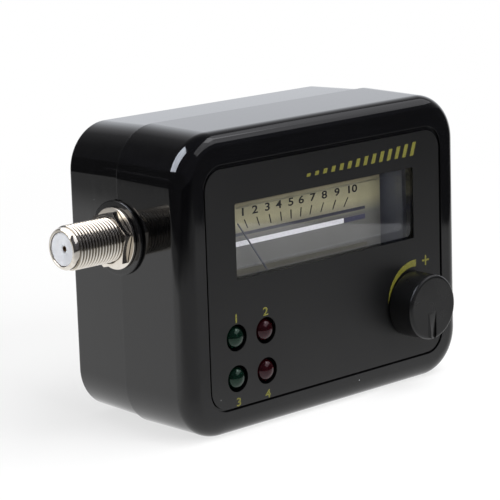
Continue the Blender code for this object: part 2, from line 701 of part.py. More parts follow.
def meter_frame(material):
    """Open-fronted body that holds the plate and the movement, with two screw ears."""
    bm = bmesh.new()
    add_prism(bm, meter_outline(0.0), FRAME_FRONT_Y, HEAD_BACK_Y)
    frame = make_object("meter_frame", bm, material)
    bm = bmesh.new()
    neck_top = SHOULDER_Z + FRAME_WALL
    neck_sides = NECK_HALF - SINK
    add_box(
        bm,
        (-neck_sides, FRAME_FRONT_Y + OVERRUN, NECK_FOOT + SINK),
        (neck_sides, FRAME_BACK_Y, neck_top),
    )
    apply_tool(frame, bm, "frame_neck", "UNION")
    bm = bmesh.new()
    for side in (-1, 1):
        near, far = sorted((side * (HEAD_HALF - SINK), side * (HEAD_HALF + EAR_REACH)))
        low = (near, FRAME_FRONT_Y, HEAD_FOOT + EAR_RISE)
        high = (far, FRAME_FRONT_Y + EAR_THICKNESS, HEAD_FOOT + EAR_RISE + EAR_HEIGHT)
        add_box(bm, low, high)
    apply_tool(frame, bm, "frame_ears", "UNION")
    bm = bmesh.new()
    hollow = meter_outline(FRAME_WALL)
    add_prism(bm, hollow, FRAME_FRONT_Y - OVERRUN, HEAD_BACK_Y - FRAME_WALL)
    apply_tool(frame, bm, "head_hollow")
    bm = bmesh.new()
    deep_half = NECK_HALF - FRAME_WALL - TUCK
    add_box(
        bm,
        (-deep_half, HEAD_BACK_Y - FRAME_WALL - OVERRUN, PIVOT_Z - deep_half),
        (deep_half, FRAME_INNER_Y, PIVOT_Z + deep_half),
    )
    apply_tool(frame, bm, "neck_hollow")
    bm = bmesh.new()
    for side in (-1, 1):
        centre = (side * plate_screw_x(), 0, plate_screw_z())
        start, end = PLATE_BACK_Y + SEAT_GAP, HEAD_BACK_Y - FRAME_WALL + SINK
        add_rod(bm, centre, "Y", start, end, PLATE_BOSS_RADIUS)
    for x, z in yoke_screw_places():
        start, end = YOKE_BACK_Y + SEAT_GAP, FRAME_INNER_Y + SINK
        add_rod(bm, (x, 0, z), "Y", start, end, yoke_boss_radius())
    apply_tool(frame, bm, "frame_bosses", "UNION")
    bm = bmesh.new()
    for side in (-1, 1):
        centre = (side * EAR_SCREW_X, 0, EAR_Z)
        start, end = FRAME_FRONT_Y - OVERRUN, FRAME_FRONT_Y + EAR_THICKNESS + OVERRUN
        add_rod(bm, centre, "Y", start, end, SMALL_HOLE_RADIUS, sides=12)
        centre = (side * plate_screw_x(), 0, plate_screw_z())
        start, end = PLATE_Y, PLATE_Y + SMALL_SCREW_LENGTH
        add_rod(bm, centre, "Y", start, min(end, HEAD_BACK_Y + OVERRUN), SMALL_HOLE_RADIUS, sides=12)
    apply_tool(frame, bm, "frame_screw_holes")
    return frame


def plate_screw_x():
    """Plate screws stand in from the plate's ends."""
    return PLATE_HALF - PLATE_SCREW_INSET


def plate_screw_z():
    """Plate screws sit below what the window shows."""
    return SHOULDER_Z + PLATE_EDGE_GAP + PLATE_BOSS_RADIUS


def yoke_boss_radius():
    """Bosses behind the yoke fit its ring wall."""
    return (YOKE_RADIUS - YOKE_BORE) / 2 - SINK


def yoke_screw_places():
    """Two bosses behind the yoke, on a slant across the pivot."""
    reach = (YOKE_RADIUS + YOKE_BORE) / 2 / math.sqrt(2)
    return [(reach, PIVOT_Z + reach), (-reach, PIVOT_Z - reach)]


def scale_plate(material):
    """Flat printed plate behind the needle, with its two screw holes."""
    bm = bmesh.new()
    low = (-PLATE_HALF, PLATE_Y, SHOULDER_Z + PLATE_EDGE_GAP)
    high = (PLATE_HALF, PLATE_BACK_Y, HEAD_TOP - FRAME_WALL - PLATE_EDGE_GAP)
    add_box(bm, low, high)
    plate = make_object("scale_plate", bm, material)
    bm = bmesh.new()
    for side in (-1, 1):
        centre = (side * plate_screw_x(), 0, plate_screw_z())
        start, end = PLATE_Y - OVERRUN, PLATE_BACK_Y + OVERRUN
        add_rod(bm, centre, "Y", start, end, SMALL_HOLE_RADIUS, sides=12)
    apply_tool(plate, bm, "plate_holes")
    return plate


def turned_about_pivot(points, angle):
    """XZ points turned clockwise, seen from the front, about the meter's pivot."""
    cosine, sine = math.cos(angle), math.sin(angle)
    return [
        (x * cosine + z * sine, PIVOT_Z - x * sine + z * cosine) for x, z in points
    ]


def needle(material, pivot):
    """Tapered needle with a round hub and a balance tail, resting left of the scale."""
    hub = NEEDLE_HUB_RADIUS
    root, tip, tail = NEEDLE_ROOT / 2, NEEDLE_TIP / 2, NEEDLE_ROOT
    root_turn = math.asin(root / hub)
    tail_turn = math.asin(tail / hub)
    outline = [(tip, NEEDLE_LENGTH), (-tip, NEEDLE_LENGTH)]
    start, end = 0.5 * math.pi + root_turn, 1.5 * math.pi - tail_turn
    hub_steps = 5
    left = []
    for step in range(hub_steps + 1):
        turn = start + (end - start) * step / hub_steps
        left.append((hub * math.cos(turn), hub * math.sin(turn)))
    right = [(-x, z) for x, z in reversed(left)]
    outline += left + [(-tail, -NEEDLE_TAIL), (tail, -NEEDLE_TAIL)] + right
    placed = turned_about_pivot(outline, -NEEDLE_REST_ANGLE)
    bm = bmesh.new()
    half = NEEDLE_THICKNESS / 2
    add_prism(bm, placed, NEEDLE_Y - half, NEEDLE_Y + half)
    blade = make_object("needle", bm, material, pivot)
    bm = bmesh.new()
    start, end = NEEDLE_Y - OVERRUN, NEEDLE_Y + OVERRUN
    add_rod(bm, (0, 0, PIVOT_Z), "Y", start, end, SPINDLE_RADIUS + SPINDLE_GAP, sides=12)
    apply_tool(blade, bm, "needle_bore")
    return blade


def moving_coil(material, pivot):
    """Wound rectangular coil round the core, with a spindle stub at each end."""
    inner = CORE_RADIUS + COIL_CLEARANCE
    outer = inner + COIL_WALL
    half = COIL_WIDTH / 2
    section = [(-outer, -half), (outer, -half), (outer, half), (-outer, half)]
    hole = [(-inner, -COIL_WIDTH), (inner, -COIL_WIDTH), (inner, COIL_WIDTH), (-inner, COIL_WIDTH)]
    bm = bmesh.new()
    add_prism(bm, turned_about_pivot(section, -NEEDLE_REST_ANGLE), COIL_FRONT_Y, COIL_BACK_Y)
    coil = make_object("moving_coil", bm, material, pivot)
    bm = bmesh.new()
    near, far = COIL_FRONT_Y + COIL_WALL, COIL_BACK_Y - COIL_WALL
    add_prism(bm, turned_about_pivot(hole, -NEEDLE_REST_ANGLE), near, far)
    apply_tool(coil, bm, "coil_hollow")
    bm = bmesh.new()
    centre = (0, 0, PIVOT_Z)
    tip_gap = COIL_WALL / 2
    front_tip = FRONT_BRIDGE_Y + SPINDLE_GAP
    rear_tip = REAR_BRIDGE_Y - SPINDLE_GAP
    add_rod(bm, centre, "Y", front_tip, COIL_FRONT_Y + tip_gap, SPINDLE_RADIUS, sides=12)
    add_rod(bm, centre, "Y", COIL_BACK_Y - tip_gap, rear_tip, SPINDLE_RADIUS, sides=12)
    apply_tool(coil, bm, "spindle_stubs", "UNION")
    return coil


def yoke_and_core(finishes):
    """Soft-iron yoke ring, core magnet and the two spacers that hold the core."""
    centre = (0, 0, PIVOT_Z)
    bm = bmesh.new()
    section = [
        (YOKE_Y, YOKE_BORE), (YOKE_Y, YOKE_RADIUS),
        (YOKE_BACK_Y, YOKE_RADIUS), (YOKE_BACK_Y, YOKE_BORE),
    ]
    add_turned(bm, section, centre, "Y", YOKE_SIDES, closed=True)
    make_object("yoke_ring", bm, finishes["iron"])
    bm = bmesh.new()
    add_rod(bm, centre, "Y", YOKE_Y, YOKE_BACK_Y, CORE_RADIUS, sides=24)
    make_object("core_magnet", bm, finishes["magnet"])
    half = CORE_SPACER_WIDTH / 2
    low = CORE_RADIUS + SEAT_GAP
    high = math.sqrt(YOKE_BORE ** 2 - half ** 2) * math.cos(math.pi / YOKE_SIDES) - SEAT_GAP
    for side, name in ((-1, "core_spacer_lower"), (1, "core_spacer_upper")):
        near, far = sorted((PIVOT_Z + side * low, PIVOT_Z + side * high))
        bm = bmesh.new()
        add_box(bm, (-half, YOKE_Y, near), (half, YOKE_BACK_Y, far))
        make_object(name, bm, finishes["brass"])


def bridge(name, strip_near, strip_far, foot_y, material):
    """Bent strip that spans the yoke and carries a jewel screw at its middle."""
    reach = (YOKE_RADIUS + YOKE_BORE) / 2
    half = BRIDGE_WIDTH / 2
    leg = BRIDGE_THICKNESS
    outer, inner = reach + leg / 2, reach - leg / 2
    bm = bmesh.new()
    near, far = sorted((strip_near, strip_far))
    add_box(bm, (-outer, near, PIVOT_Z - half), (outer, far, PIVOT_Z + half))
    strip = make_object(name, bm, material)
    bm = bmesh.new()
    middle = (near + far) / 2
    start, end = sorted((middle, foot_y))
    for side in (-1, 1):
        low_x, high_x = sorted((side * inner, side * (outer - TUCK)))
        low = (low_x, start, PIVOT_Z - half + TUCK)
        high = (high_x, end, PIVOT_Z + half - TUCK)
        add_box(bm, low, high)
    apply_tool(strip, bm, name + "_legs", "UNION")
    bm = bmesh.new()
    hole = JEWEL_RADIUS + SPINDLE_GAP
    add_rod(bm, (0, 0, PIVOT_Z), "Y", near - OVERRUN, far + OVERRUN, hole, sides=12)
    apply_tool(strip, bm, name + "_hole")
    return strip


def bridges_and_jewels(finishes):
    """Front and rear bridges with their jewel screws."""
    front_far = FRONT_BRIDGE_Y
    front_near = FRONT_BRIDGE_Y - BRIDGE_THICKNESS
    bridge("front_bridge", front_near, front_far, YOKE_Y - SEAT_GAP, finishes["brass"])
    rear_near = REAR_BRIDGE_Y
    rear_far = REAR_BRIDGE_Y + BRIDGE_THICKNESS
    bridge("rear_bridge", rear_near, rear_far, YOKE_BACK_Y + SEAT_GAP, finishes["brass"])
    centre = (0, 0, PIVOT_Z)
    rear_end = min(rear_near + JEWEL_LENGTH, FRAME_INNER_Y - SPINDLE_GAP)
    stretches = (
        ("front_jewel_screw", front_far - JEWEL_LENGTH, front_far),
        ("rear_jewel_screw", rear_near, rear_end),
    )
    for name, start, end in stretches:
        bm = bmesh.new()
        add_rod(bm, centre, "Y", start, end, JEWEL_RADIUS, sides=12)
        make_object(name, bm, finishes["steel"])


def hairspring(name, y, material):
    """Flat spiral spring whose outer end runs out to the bridge's leg."""
    path = []
    for step in range(SPRING_TURNS * SPRING_STEPS + 1):
        turn = 2.0 * math.pi * step / SPRING_STEPS
        radius = SPRING_INNER_RADIUS + SPRING_PITCH * step / SPRING_STEPS
        path.append(Vector((radius * math.cos(turn), y, PIVOT_Z + radius * math.sin(turn))))
    leg = (YOKE_RADIUS + YOKE_BORE) / 2 - BRIDGE_THICKNESS / 2 - SEAT_GAP
    path.append(Vector((leg, y, PIVOT_Z + SPRING_PITCH)))
    bm = bmesh.new()
    add_tube(bm, path, SPRING_WIRE_RADIUS, sides=4)
    make_object(name, bm, material)


def screw_profile(seat, direction, head, head_radius, radius, length):
    """Half section of a pan-head screw whose shank runs from the seat along a direction."""
    crown = head * SCREW_CROWN_SHARE
    points = [
        (seat - direction * head, 0.0),
        (seat - direction * head, head_radius - crown),
        (seat - direction * (head - crown), head_radius),
        (seat, head_radius),
        (seat, radius),
        (seat + direction * (length - radius), radius),
        (seat + direction * length, 0.0),
    ]
    return points


def screws(finishes):
    """Case, meter, plate and board screws; each kind shares one mesh."""
    seat = SEAM_Y + TUBE_FLOOR + SEAT_GAP
    profile = screw_profile(
        seat, -1, CASE_SCREW_HEAD, CASE_SCREW_HEAD_RADIUS, CASE_SCREW_RADIUS, CASE_SCREW_LENGTH
    )
    bm = bmesh.new()
    add_turned(bm, profile, (0, 0, 0), "Y", 16)
    places = post_places()
    place_copies(numbered("case_screw", len(places)), places, bm, finishes["steel"])
    small = (SMALL_SCREW_HEAD, SMALL_SCREW_HEAD_RADIUS, SMALL_SCREW_RADIUS)
    plate_length = min(SMALL_SCREW_LENGTH, HEAD_BACK_Y - PLATE_Y)
    plate_x, plate_z = plate_screw_x(), plate_screw_z()
    ear_y = FRAME_FRONT_Y + EAR_THICKNESS + SEAT_GAP
    kinds = (
        (("meter_screw_left", "meter_screw_right"), ear_y, -1, SMALL_SCREW_LENGTH - SEAT_GAP,
         ((-EAR_SCREW_X, EAR_Z), (EAR_SCREW_X, EAR_Z))),
        (("plate_screw_left", "plate_screw_right"), PLATE_Y - SEAT_GAP, 1, plate_length,
         ((-plate_x, plate_z), (plate_x, plate_z))),
        (("board_screw_left", "board_screw_right"), BOARD_Y - SEAT_GAP, 1, SMALL_SCREW_LENGTH,
         board_post_places()),
    )
    for names, seat, direction, length, places in kinds:
        bm = bmesh.new()
        profile = screw_profile(seat, direction, *small, length)
        add_turned(bm, profile, (0, 0, 0), "Y", 12)
        place_copies(names, places, bm, finishes["steel"])


def lamps(finishes):
    """Four round lamps, each with a domed tip, a flanged foot and two wire leads."""
    tip_y = FACE_Y - LAMP_PROUD
    foot_y = tip_y + LAMP_HEIGHT
    dome_steps = 5
    profile = []
    for step in range(dome_steps + 1):
        turn = 0.5 * math.pi * step / dome_steps
        station = tip_y + LAMP_RADIUS * (1.0 - math.cos(turn))
        profile.append((station, LAMP_RADIUS * math.sin(turn)))
    flange_y = foot_y - LAMP_FLANGE_HEIGHT
    profile += [(flange_y, LAMP_RADIUS), (flange_y, LAMP_FLANGE_RADIUS)]
    profile += [(foot_y, LAMP_FLANGE_RADIUS), (foot_y, 0.0)]
    for name, (x, z) in lamp_places().items():
        bm = bmesh.new()
        add_turned(bm, profile, (x, 0, z), "Y", 16)
        lamp = make_object(name, bm, finishes["green" if "green" in name else "red"])
        bm = bmesh.new()
        for side in (-1, 1):
            centre = (x + side * LEAD_PITCH / 2, 0, z)
            start, end = foot_y - LAMP_FLANGE_HEIGHT / 2, BOARD_Y - SEAT_GAP
            add_rod(bm, centre, "Y", start, end, LEAD_RADIUS, sides=6)
        apply_tool(lamp, bm, name + "_leads", "UNION")


def knob(material, pivot):
    """Skirted push-on knob: rounded front edge, raised pointer and a bored hub."""
    bore = SHAFT_RADIUS + SHAFT_GAP
    web_y = KNOB_FACE_Y + KNOB_WEB
    hub_y = KNOB_BACK_Y - KNOB_HUB_SETBACK
    socket_y = KNOB_FACE_Y + KNOB_FACE
    profile = [(KNOB_FACE_Y, 0.0)]
    for step in range(ROUND_STEPS):
        turn = 0.5 * math.pi * step / (ROUND_STEPS - 1)
        station = KNOB_FACE_Y + KNOB_EDGE * (1.0 - math.cos(turn))
        profile.append((station, KNOB_RADIUS - KNOB_EDGE * (1.0 - math.sin(turn))))
    profile += [
        (KNOB_BACK_Y, KNOB_RADIUS),
        (KNOB_BACK_Y, KNOB_RADIUS - KNOB_WALL),
        (web_y, KNOB_RADIUS - KNOB_WALL),
        (web_y, KNOB_HUB_RADIUS),
        (hub_y, KNOB_HUB_RADIUS),
        (hub_y, bore),
        (socket_y, bore),
        (socket_y, 0.0),
    ]
    bm = bmesh.new()
    add_turned(bm, profile, (KNOB_X, 0, KNOB_Z), "Y", 40)
    body = make_object("knob", bm, material, pivot)
    bm = bmesh.new()
    half = POINTER_WIDTH / 2
    low = (KNOB_X - half, KNOB_FACE_Y - POINTER_RISE, KNOB_Z - POINTER_END)
    high = (KNOB_X + half, KNOB_FACE_Y + KNOB_FACE / 2, KNOB_Z - POINTER_START)
    add_box(bm, low, high)
    apply_tool(body, bm, "knob_pointer", "UNION")
    return body


def level_control(finishes, pivot):
    """Board-mounted rotary control: round can with a bush, and its flatted shaft."""
    centre = (KNOB_X, 0, KNOB_Z)
    foot_y = BOARD_Y - SEAT_GAP
    top_y = foot_y - CONTROL_DEPTH
    bush_y = top_y - BUSH_LENGTH
    bore = SHAFT_RADIUS + SHAFT_GAP
    floor_y = foot_y - CONTROL_LID
    profile = [
        (bush_y, bore), (bush_y, BUSH_RADIUS), (top_y, BUSH_RADIUS),
        (top_y, CONTROL_RADIUS), (foot_y, CONTROL_RADIUS), (foot_y, 0.0),
    ]
    profile = [(floor_y, 0.0), (floor_y, bore)] + profile
    bm = bmesh.new()
    add_turned(bm, profile, centre, "Y", 28)
    make_object("control_body", bm, finishes["tin"])
    bm = bmesh.new()
    tip_y = KNOB_FACE_Y + KNOB_FACE + SHAFT_GAP
    add_rod(bm, centre, "Y", tip_y, floor_y - SHAFT_GAP, SHAFT_RADIUS, sides=24)
    shaft = make_object("control_shaft", bm, finishes["steel"], pivot)
    bm = bmesh.new()
    low = (KNOB_X - KNOB_RADIUS, tip_y - OVERRUN, KNOB_Z + SHAFT_RADIUS - SHAFT_FLAT)
    high = (KNOB_X + KNOB_RADIUS, tip_y + SHAFT_FLAT_LENGTH, KNOB_Z + KNOB_RADIUS)
    add_box(bm, low, high)
    apply_tool(shaft, bm, "shaft_flat")


def port(side, word, finishes):
    """One coaxial port: body, insulator, contact, and the ring, washer and nut outside."""
    centre = (0, SEAM_Y, PORT_HEIGHT)
    wall = HALF_WIDTH
    inner_wall = HALF_WIDTH - INSET
    flange_out = inner_wall - FIT_GAP
    flange_in = flange_out - PORT_FLANGE_THICKNESS
    tail = flange_in - PORT_TAIL_LENGTH
    tip = wall + PORT_REACH

    def ring(name, section, finish_name, sides):
        bm = bmesh.new()
        placed = [(side * station, radius) for station, radius in section]
        add_turned(bm, placed, centre, "X", sides, closed=True)
        make_object(name + "_" + word, bm, finishes[finish_name])

    thread_end = wall + PORT_THREAD_END
    ring("port_body", [
        (tail, PORT_BORE_RADIUS), (tail, PORT_TAIL_RADIUS),
        (flange_in, PORT_TAIL_RADIUS), (flange_in, PORT_FLANGE_RADIUS),
        (flange_out, PORT_FLANGE_RADIUS), (flange_out, PORT_RADIUS),
        (thread_end, PORT_RADIUS), (thread_end + CORE_SETBACK, PORT_NECK_RADIUS),
        (tip - PORT_TIP_ROUND, PORT_NECK_RADIUS), (tip, PORT_TIP_RADIUS),
        (tip, PORT_BORE_RADIUS),
    ], "nickel", 24)
    core_radius = PORT_BORE_RADIUS - CORE_GAP
    core_tip = tip - CORE_SETBACK
    ring("port_insulator", [
        (tail, CONTACT_HOLE_RADIUS), (tail, core_radius),
        (core_tip, core_radius), (core_tip, CONTACT_HOLE_RADIUS),
    ], "white", 20)
    stack_bore = PORT_RADIUS + SEAT_GAP
    ring_in = wall + SEAT_GAP
    ring_out = ring_in + RING_THICKNESS
    washer_in = ring_out + SEAT_GAP
    washer_out = washer_in + WASHER_THICKNESS
    nut_in = washer_out + SEAT_GAP
    nut_out = nut_in + NUT_THICKNESS
    ring("port_ring", [
        (ring_in, stack_bore), (ring_in, RING_RADIUS),
        (ring_out, RING_RADIUS), (ring_out, stack_bore),
    ], "rubber", 32)
    ring("port_washer", [
        (washer_in, stack_bore), (washer_in, WASHER_RADIUS),
        (washer_out, WASHER_RADIUS), (washer_out, stack_bore),
    ], "nickel", 24)

    bm = bmesh.new()
    hexagon = NUT_ACROSS_FLATS / 2 / math.cos(math.pi / 6)
    rings = []
    for station in (nut_in, nut_out):
        points = []
        for corner in range(6):
            turn = NUT_TURN + corner * math.pi / 3
            y = SEAM_Y + hexagon * math.cos(turn)
            z = PORT_HEIGHT + hexagon * math.sin(turn)
            points.append(Vector((side * station, y, z)))
        rings.append(points)
    add_loft(bm, rings)
    nut = make_object("port_nut_" + word, bm, finishes["nickel"])
    bm = bmesh.new()
    cone = [
        (side * (nut_in - OVERRUN), 0.0),
        (side * (nut_in - OVERRUN), hexagon + OVERRUN),
        (side * (nut_out - NUT_CHAMFER), hexagon),
        (side * (nut_out + SINK), NUT_ACROSS_FLATS / 2 - SINK),
        (side * (nut_out + SINK), 0.0),
    ]
    add_turned(bm, cone, centre, "X", 36)
    apply_tool(nut, bm, "port_nut_crown_" + word, "INTERSECT")
    bm = bmesh.new()
    start, end = side * (nut_in - OVERRUN), side * (nut_out + OVERRUN)
    add_rod(bm, centre, "X", start, end, stack_bore, sides=24)
    apply_tool(nut, bm, "port_nut_bore_" + word)

    bm = bmesh.new()
    bend_x = tail - CONTACT_TAIL
    path = [
        Vector((side * (tip - CONTACT_SETBACK), SEAM_Y, PORT_HEIGHT)),
        Vector((side * (bend_x + CONTACT_BEND), SEAM_Y, PORT_HEIGHT)),
    ]
    bend_steps = 4
    for step in range(1, bend_steps + 1):
        turn = 0.5 * math.pi * step / bend_steps
        x = bend_x + CONTACT_BEND * (1.0 - math.sin(turn))
        y = SEAM_Y + CONTACT_BEND * (1.0 - math.cos(turn))
        path.append(Vector((side * x, y, PORT_HEIGHT)))
    path.append(Vector((side * bend_x, BOARD_Y - SEAT_GAP, PORT_HEIGHT)))
    add_tube(bm, path, CONTACT_RADIUS, sides=8)
    make_object("port_contact_" + word, bm, finishes["brass"])


def circuit_board(material):
    """Board with notched corners that clear the screw tubes, and two screw holes."""
    half, low, high, notch = BOARD_HALF, BOARD_FOOT, BOARD_TOP, BOARD_NOTCH
    quarter = [(half - notch, high), (half - notch, high - notch), (half, high - notch)]
    right = quarter[::-1]
    lower = [(x, low + high - z) for x, z in quarter]
    outline = lower + right
    outline += [(-x, z) for x, z in reversed(right)]
    outline += [(-x, z) for x, z in reversed(lower)]
    bm = bmesh.new()
    add_prism(bm, outline, BOARD_Y, BOARD_BACK_Y)
    board = make_object("circuit_board", bm, material)
    bm = bmesh.new()
    for x, z in board_post_places():
        start, end = BOARD_Y - OVERRUN, BOARD_BACK_Y + OVERRUN
        add_rod(bm, (x, 0, z), "Y", start, end, SMALL_HOLE_RADIUS, sides=12)
    apply_tool(board, bm, "board_holes")


def board_pieces(finishes):
    """Shield can on the board's front; buzzer, chips, capacitors and chokes behind."""
    bm = bmesh.new()
    foot_y = BOARD_Y - SEAT_GAP
    low = (-CAN_HALF, foot_y - CAN_DEPTH, CAN_FOOT)
    high = (CAN_HALF, foot_y, CAN_TOP)
    add_box(bm, low, high)
    can = make_object("shield_can", bm, finishes["tin"])
    bm = bmesh.new()
    low = (-CAN_HALF + CAN_SHEET, foot_y - CAN_DEPTH + CAN_SHEET, CAN_FOOT + CAN_SHEET)
    high = (CAN_HALF - CAN_SHEET, foot_y + OVERRUN, CAN_TOP - CAN_SHEET)
    add_box(bm, low, high)
    apply_tool(can, bm, "can_hollow")

    seat = BOARD_BACK_Y + SEAT_GAP
    bm = bmesh.new()
    top = seat + BUZZER_HEIGHT
    profile = [
        (seat, 0.0), (seat, BUZZER_RADIUS), (top, BUZZER_RADIUS), (top, BUZZER_HOLE_RADIUS),
        (top - BUZZER_HOLE_RADIUS, BUZZER_HOLE_RADIUS), (top - BUZZER_HOLE_RADIUS, 0.0),
    ]
    add_turned(bm, profile, (BUZZER_X, 0, BUZZER_Z), "Y", 24)
    make_object("buzzer", bm, finishes["chip"])

    bm = bmesh.new()
    low = (-CHIP_WIDTH / 2, seat, -CHIP_HEIGHT / 2)
    high = (CHIP_WIDTH / 2, seat + CHIP_DEPTH, CHIP_HEIGHT / 2)
    add_box(bm, low, high)
    places = [(CHIP_X, CHIP_Z + index * CHIP_PITCH) for index in range(2)]
    place_copies(numbered("chip", len(places)), places, bm, finishes["chip"])

    bm = bmesh.new()
    add_rod(bm, (0, 0, 0), "Y", seat, seat + CAPACITOR_HEIGHT, CAPACITOR_RADIUS, sides=14)
    places = [(CAPACITOR_X, CAPACITOR_Z), (CAPACITOR_X - CAPACITOR_PITCH, CAPACITOR_Z)]
    place_copies(numbered("capacitor", len(places)), places, bm, finishes["sleeve"])

    bm = bmesh.new()
    end = seat + CHOKE_HEIGHT
    profile = [
        (seat, 0.0), (seat, CHOKE_RADIUS), (seat + CHOKE_FLANGE, CHOKE_RADIUS),
        (seat + CHOKE_FLANGE, CHOKE_WAIST_RADIUS), (end - CHOKE_FLANGE, CHOKE_WAIST_RADIUS),
        (end - CHOKE_FLANGE, CHOKE_RADIUS), (end, CHOKE_RADIUS), (end, 0.0),
    ]
    add_turned(bm, profile, (0, 0, 0), "Y", 16)
    choke_z = PORT_HEIGHT + CHOKE_RISE
    places = ((-CHOKE_X, choke_z), (CHOKE_X, choke_z))
    place_copies(("choke_left", "choke_right"), places, bm, finishes["ferrite"])


def build():
    """Clear the file's objects and model the whole meter."""
    for thing in list(bpy.data.objects):
        bpy.data.objects.remove(thing)
    finishes = build_finishes()
    meter_pivot = (0.0, NEEDLE_Y, PIVOT_Z)
    knob_pivot = (KNOB_X, KNOB_FACE_Y, KNOB_Z)
    front_shell(finishes["gloss_black"])
    rear_shell(finishes["gloss_black"])
    front_label(finishes["label"])
    meter_cover(finishes["clear"])
    meter_frame(finishes["satin_black"])
    scale_plate(finishes["plate"])
    needle(finishes["needle"], meter_pivot)
    moving_coil(finishes["copper"], meter_pivot)
    yoke_and_core(finishes)
    bridges_and_jewels(finishes)
    hairspring("front_hairspring", (NEEDLE_Y + COIL_FRONT_Y) / 2, finishes["copper"])
    hairspring("rear_hairspring", (COIL_BACK_Y + REAR_BRIDGE_Y) / 2, finishes["copper"])
    lamps(finishes)
    knob(finishes["satin_black"], knob_pivot)
    level_control(finishes, knob_pivot)
    for side, word in ((-1, "left"), (1, "right")):
        port(side, word, finishes)
    circuit_board(finishes["board"])
    board_pieces(finishes)
    screws(finishes)


build()
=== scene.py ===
import json
import math

import bmesh
import bpy
from mathutils import Matrix, Vector


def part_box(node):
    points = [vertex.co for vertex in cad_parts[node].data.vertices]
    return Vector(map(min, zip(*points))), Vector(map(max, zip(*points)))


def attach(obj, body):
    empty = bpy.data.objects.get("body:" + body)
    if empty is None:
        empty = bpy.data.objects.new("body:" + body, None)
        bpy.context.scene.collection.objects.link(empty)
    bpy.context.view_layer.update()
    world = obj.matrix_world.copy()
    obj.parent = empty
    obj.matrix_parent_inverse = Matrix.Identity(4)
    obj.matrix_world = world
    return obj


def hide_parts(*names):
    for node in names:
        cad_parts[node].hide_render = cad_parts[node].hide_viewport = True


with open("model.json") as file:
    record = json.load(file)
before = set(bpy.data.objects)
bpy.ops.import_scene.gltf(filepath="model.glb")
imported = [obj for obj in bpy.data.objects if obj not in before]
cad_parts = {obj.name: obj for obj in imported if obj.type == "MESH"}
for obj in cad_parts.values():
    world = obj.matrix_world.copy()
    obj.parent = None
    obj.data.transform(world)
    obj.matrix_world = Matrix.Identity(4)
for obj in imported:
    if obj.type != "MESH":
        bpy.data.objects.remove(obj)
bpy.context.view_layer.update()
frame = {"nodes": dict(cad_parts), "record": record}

# Lengths in metres. Places come from the frame's own boxes.
MM = 0.001
FRONT_LOW, FRONT_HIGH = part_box("front_shell")
REAR_LOW, REAR_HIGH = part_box("rear_shell")
LABEL_LOW, LABEL_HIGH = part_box("front_label")
COVER_LOW, COVER_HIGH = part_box("meter_cover")
PLATE_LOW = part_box("scale_plate")[0]
KNOB_LOW, KNOB_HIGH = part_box("knob")
HALF_WIDTH = FRONT_HIGH.x
CASE_HEIGHT = FRONT_HIGH.z
FACE_Y = FRONT_LOW.y
SEAM_Y = REAR_LOW.y
BACK_Y = REAR_HIGH.y
CORNER_RADIUS = 10.4 * MM
FRONT_ROUND = 3.7 * MM
REAR_ROUND = 0.8 * MM
TOP_DRAFT = 0.45 * MM
REAR_SIDE_DRAFT = 0.6 * MM
REAR_END_DRAFT = 0.4 * MM
SEAM_STEP = 0.45 * MM
WALL = 2.2 * MM
PANEL_WALL = 2.4 * MM
TONGUE_THICKNESS = 0.9 * MM
TONGUE_LENGTH = 1.6 * MM
FIT_GAP = 0.3 * MM
SEAT_GAP = 0.15 * MM
OVERRUN = 1.0 * MM
WELD = 0.001 * MM
PLANE_SLACK = 0.01 * MM
EDGE_BREAK = 0.12 * MM
RIM_SLACK = 0.05 * MM
INSET = SEAM_STEP + WALL
RECESS_DEPTH = 0.6 * MM
RECESS_RADIUS = 5.0 * MM
RECESS_LOW = Vector((-35.85 * MM, 0.0, 5.65 * MM))
RECESS_HIGH = Vector((36.25 * MM, 0.0, 57.95 * MM))
LABEL_RADIUS = 4.55 * MM
LABEL_EDGE = 0.05 * MM
WINDOW_LOW = Vector((-27.25 * MM, 0.0, 33.15 * MM))
WINDOW_HIGH = Vector((27.25 * MM, 0.0, 49.3 * MM))
WINDOW_RADIUS = 0.4 * MM
COVER_WALL = 1.4 * MM
COVER_CORNER = 1.2 * MM
LAMP_HOLE_RADIUS = 2.88 * MM
SHAFT_HOLE_RADIUS = 3.6 * MM
POST_RADIUS = 3.5 * MM
PILOT_RADIUS = 1.4 * MM
TUBE_RADIUS = 3.7 * MM
WELL_RADIUS = 3.0 * MM
TUBE_FLOOR = 4.5 * MM
TUBE_HOLE_RADIUS = 1.7 * MM
PORT_SEAT_RADIUS = 5.08 * MM
LAMPS = ("lamp_green_upper", "lamp_green_lower", "lamp_red_upper", "lamp_red_lower")
SIDES = {"left": -1, "right": 1}
CASE_SCREWS = 4
FINE_SIDES = 128
ROUND_SIDES = 96
MIDDLE_SIDES = 64
POST_SIDES = 48
HOLE_SIDES = 32
BORE_SIDES = 24
WIRE_SIDES = 16
CORNER_STEPS = 20
FRONT_STEPS = 12
REAR_STEPS = 6
RECESS_STEPS = 16
COVER_STEPS = 8
WINDOW_STEPS = 6
ALONG_SHARE = 0.99
SOFT_ANGLE = 35.0
LARGE_FACE_WEIGHT = 60


# Small helpers for modelling by hand

def middle(node):
    """The centre of a CAD node's box."""
    low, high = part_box(node)
    return (low + high) / 2


def deselect_all():
    """Leave nothing selected, in object mode."""
    if bpy.context.object is not None and bpy.context.object.mode != "OBJECT":
        bpy.ops.object.mode_set(mode="OBJECT")
    bpy.ops.object.select_all(action="DESELECT")


def work_on(piece):
    """Select one object alone and make it the active one."""
    deselect_all()
    piece.select_set(True)
    bpy.context.view_layer.objects.active = piece
    return piece


def settle(piece, name):
    """Name a fresh primitive and put its place and turn in its mesh."""
    piece.name = name
    piece.data.name = name
    work_on(piece)
    bpy.ops.object.transform_apply(location=True, rotation=True, scale=True)
    return piece


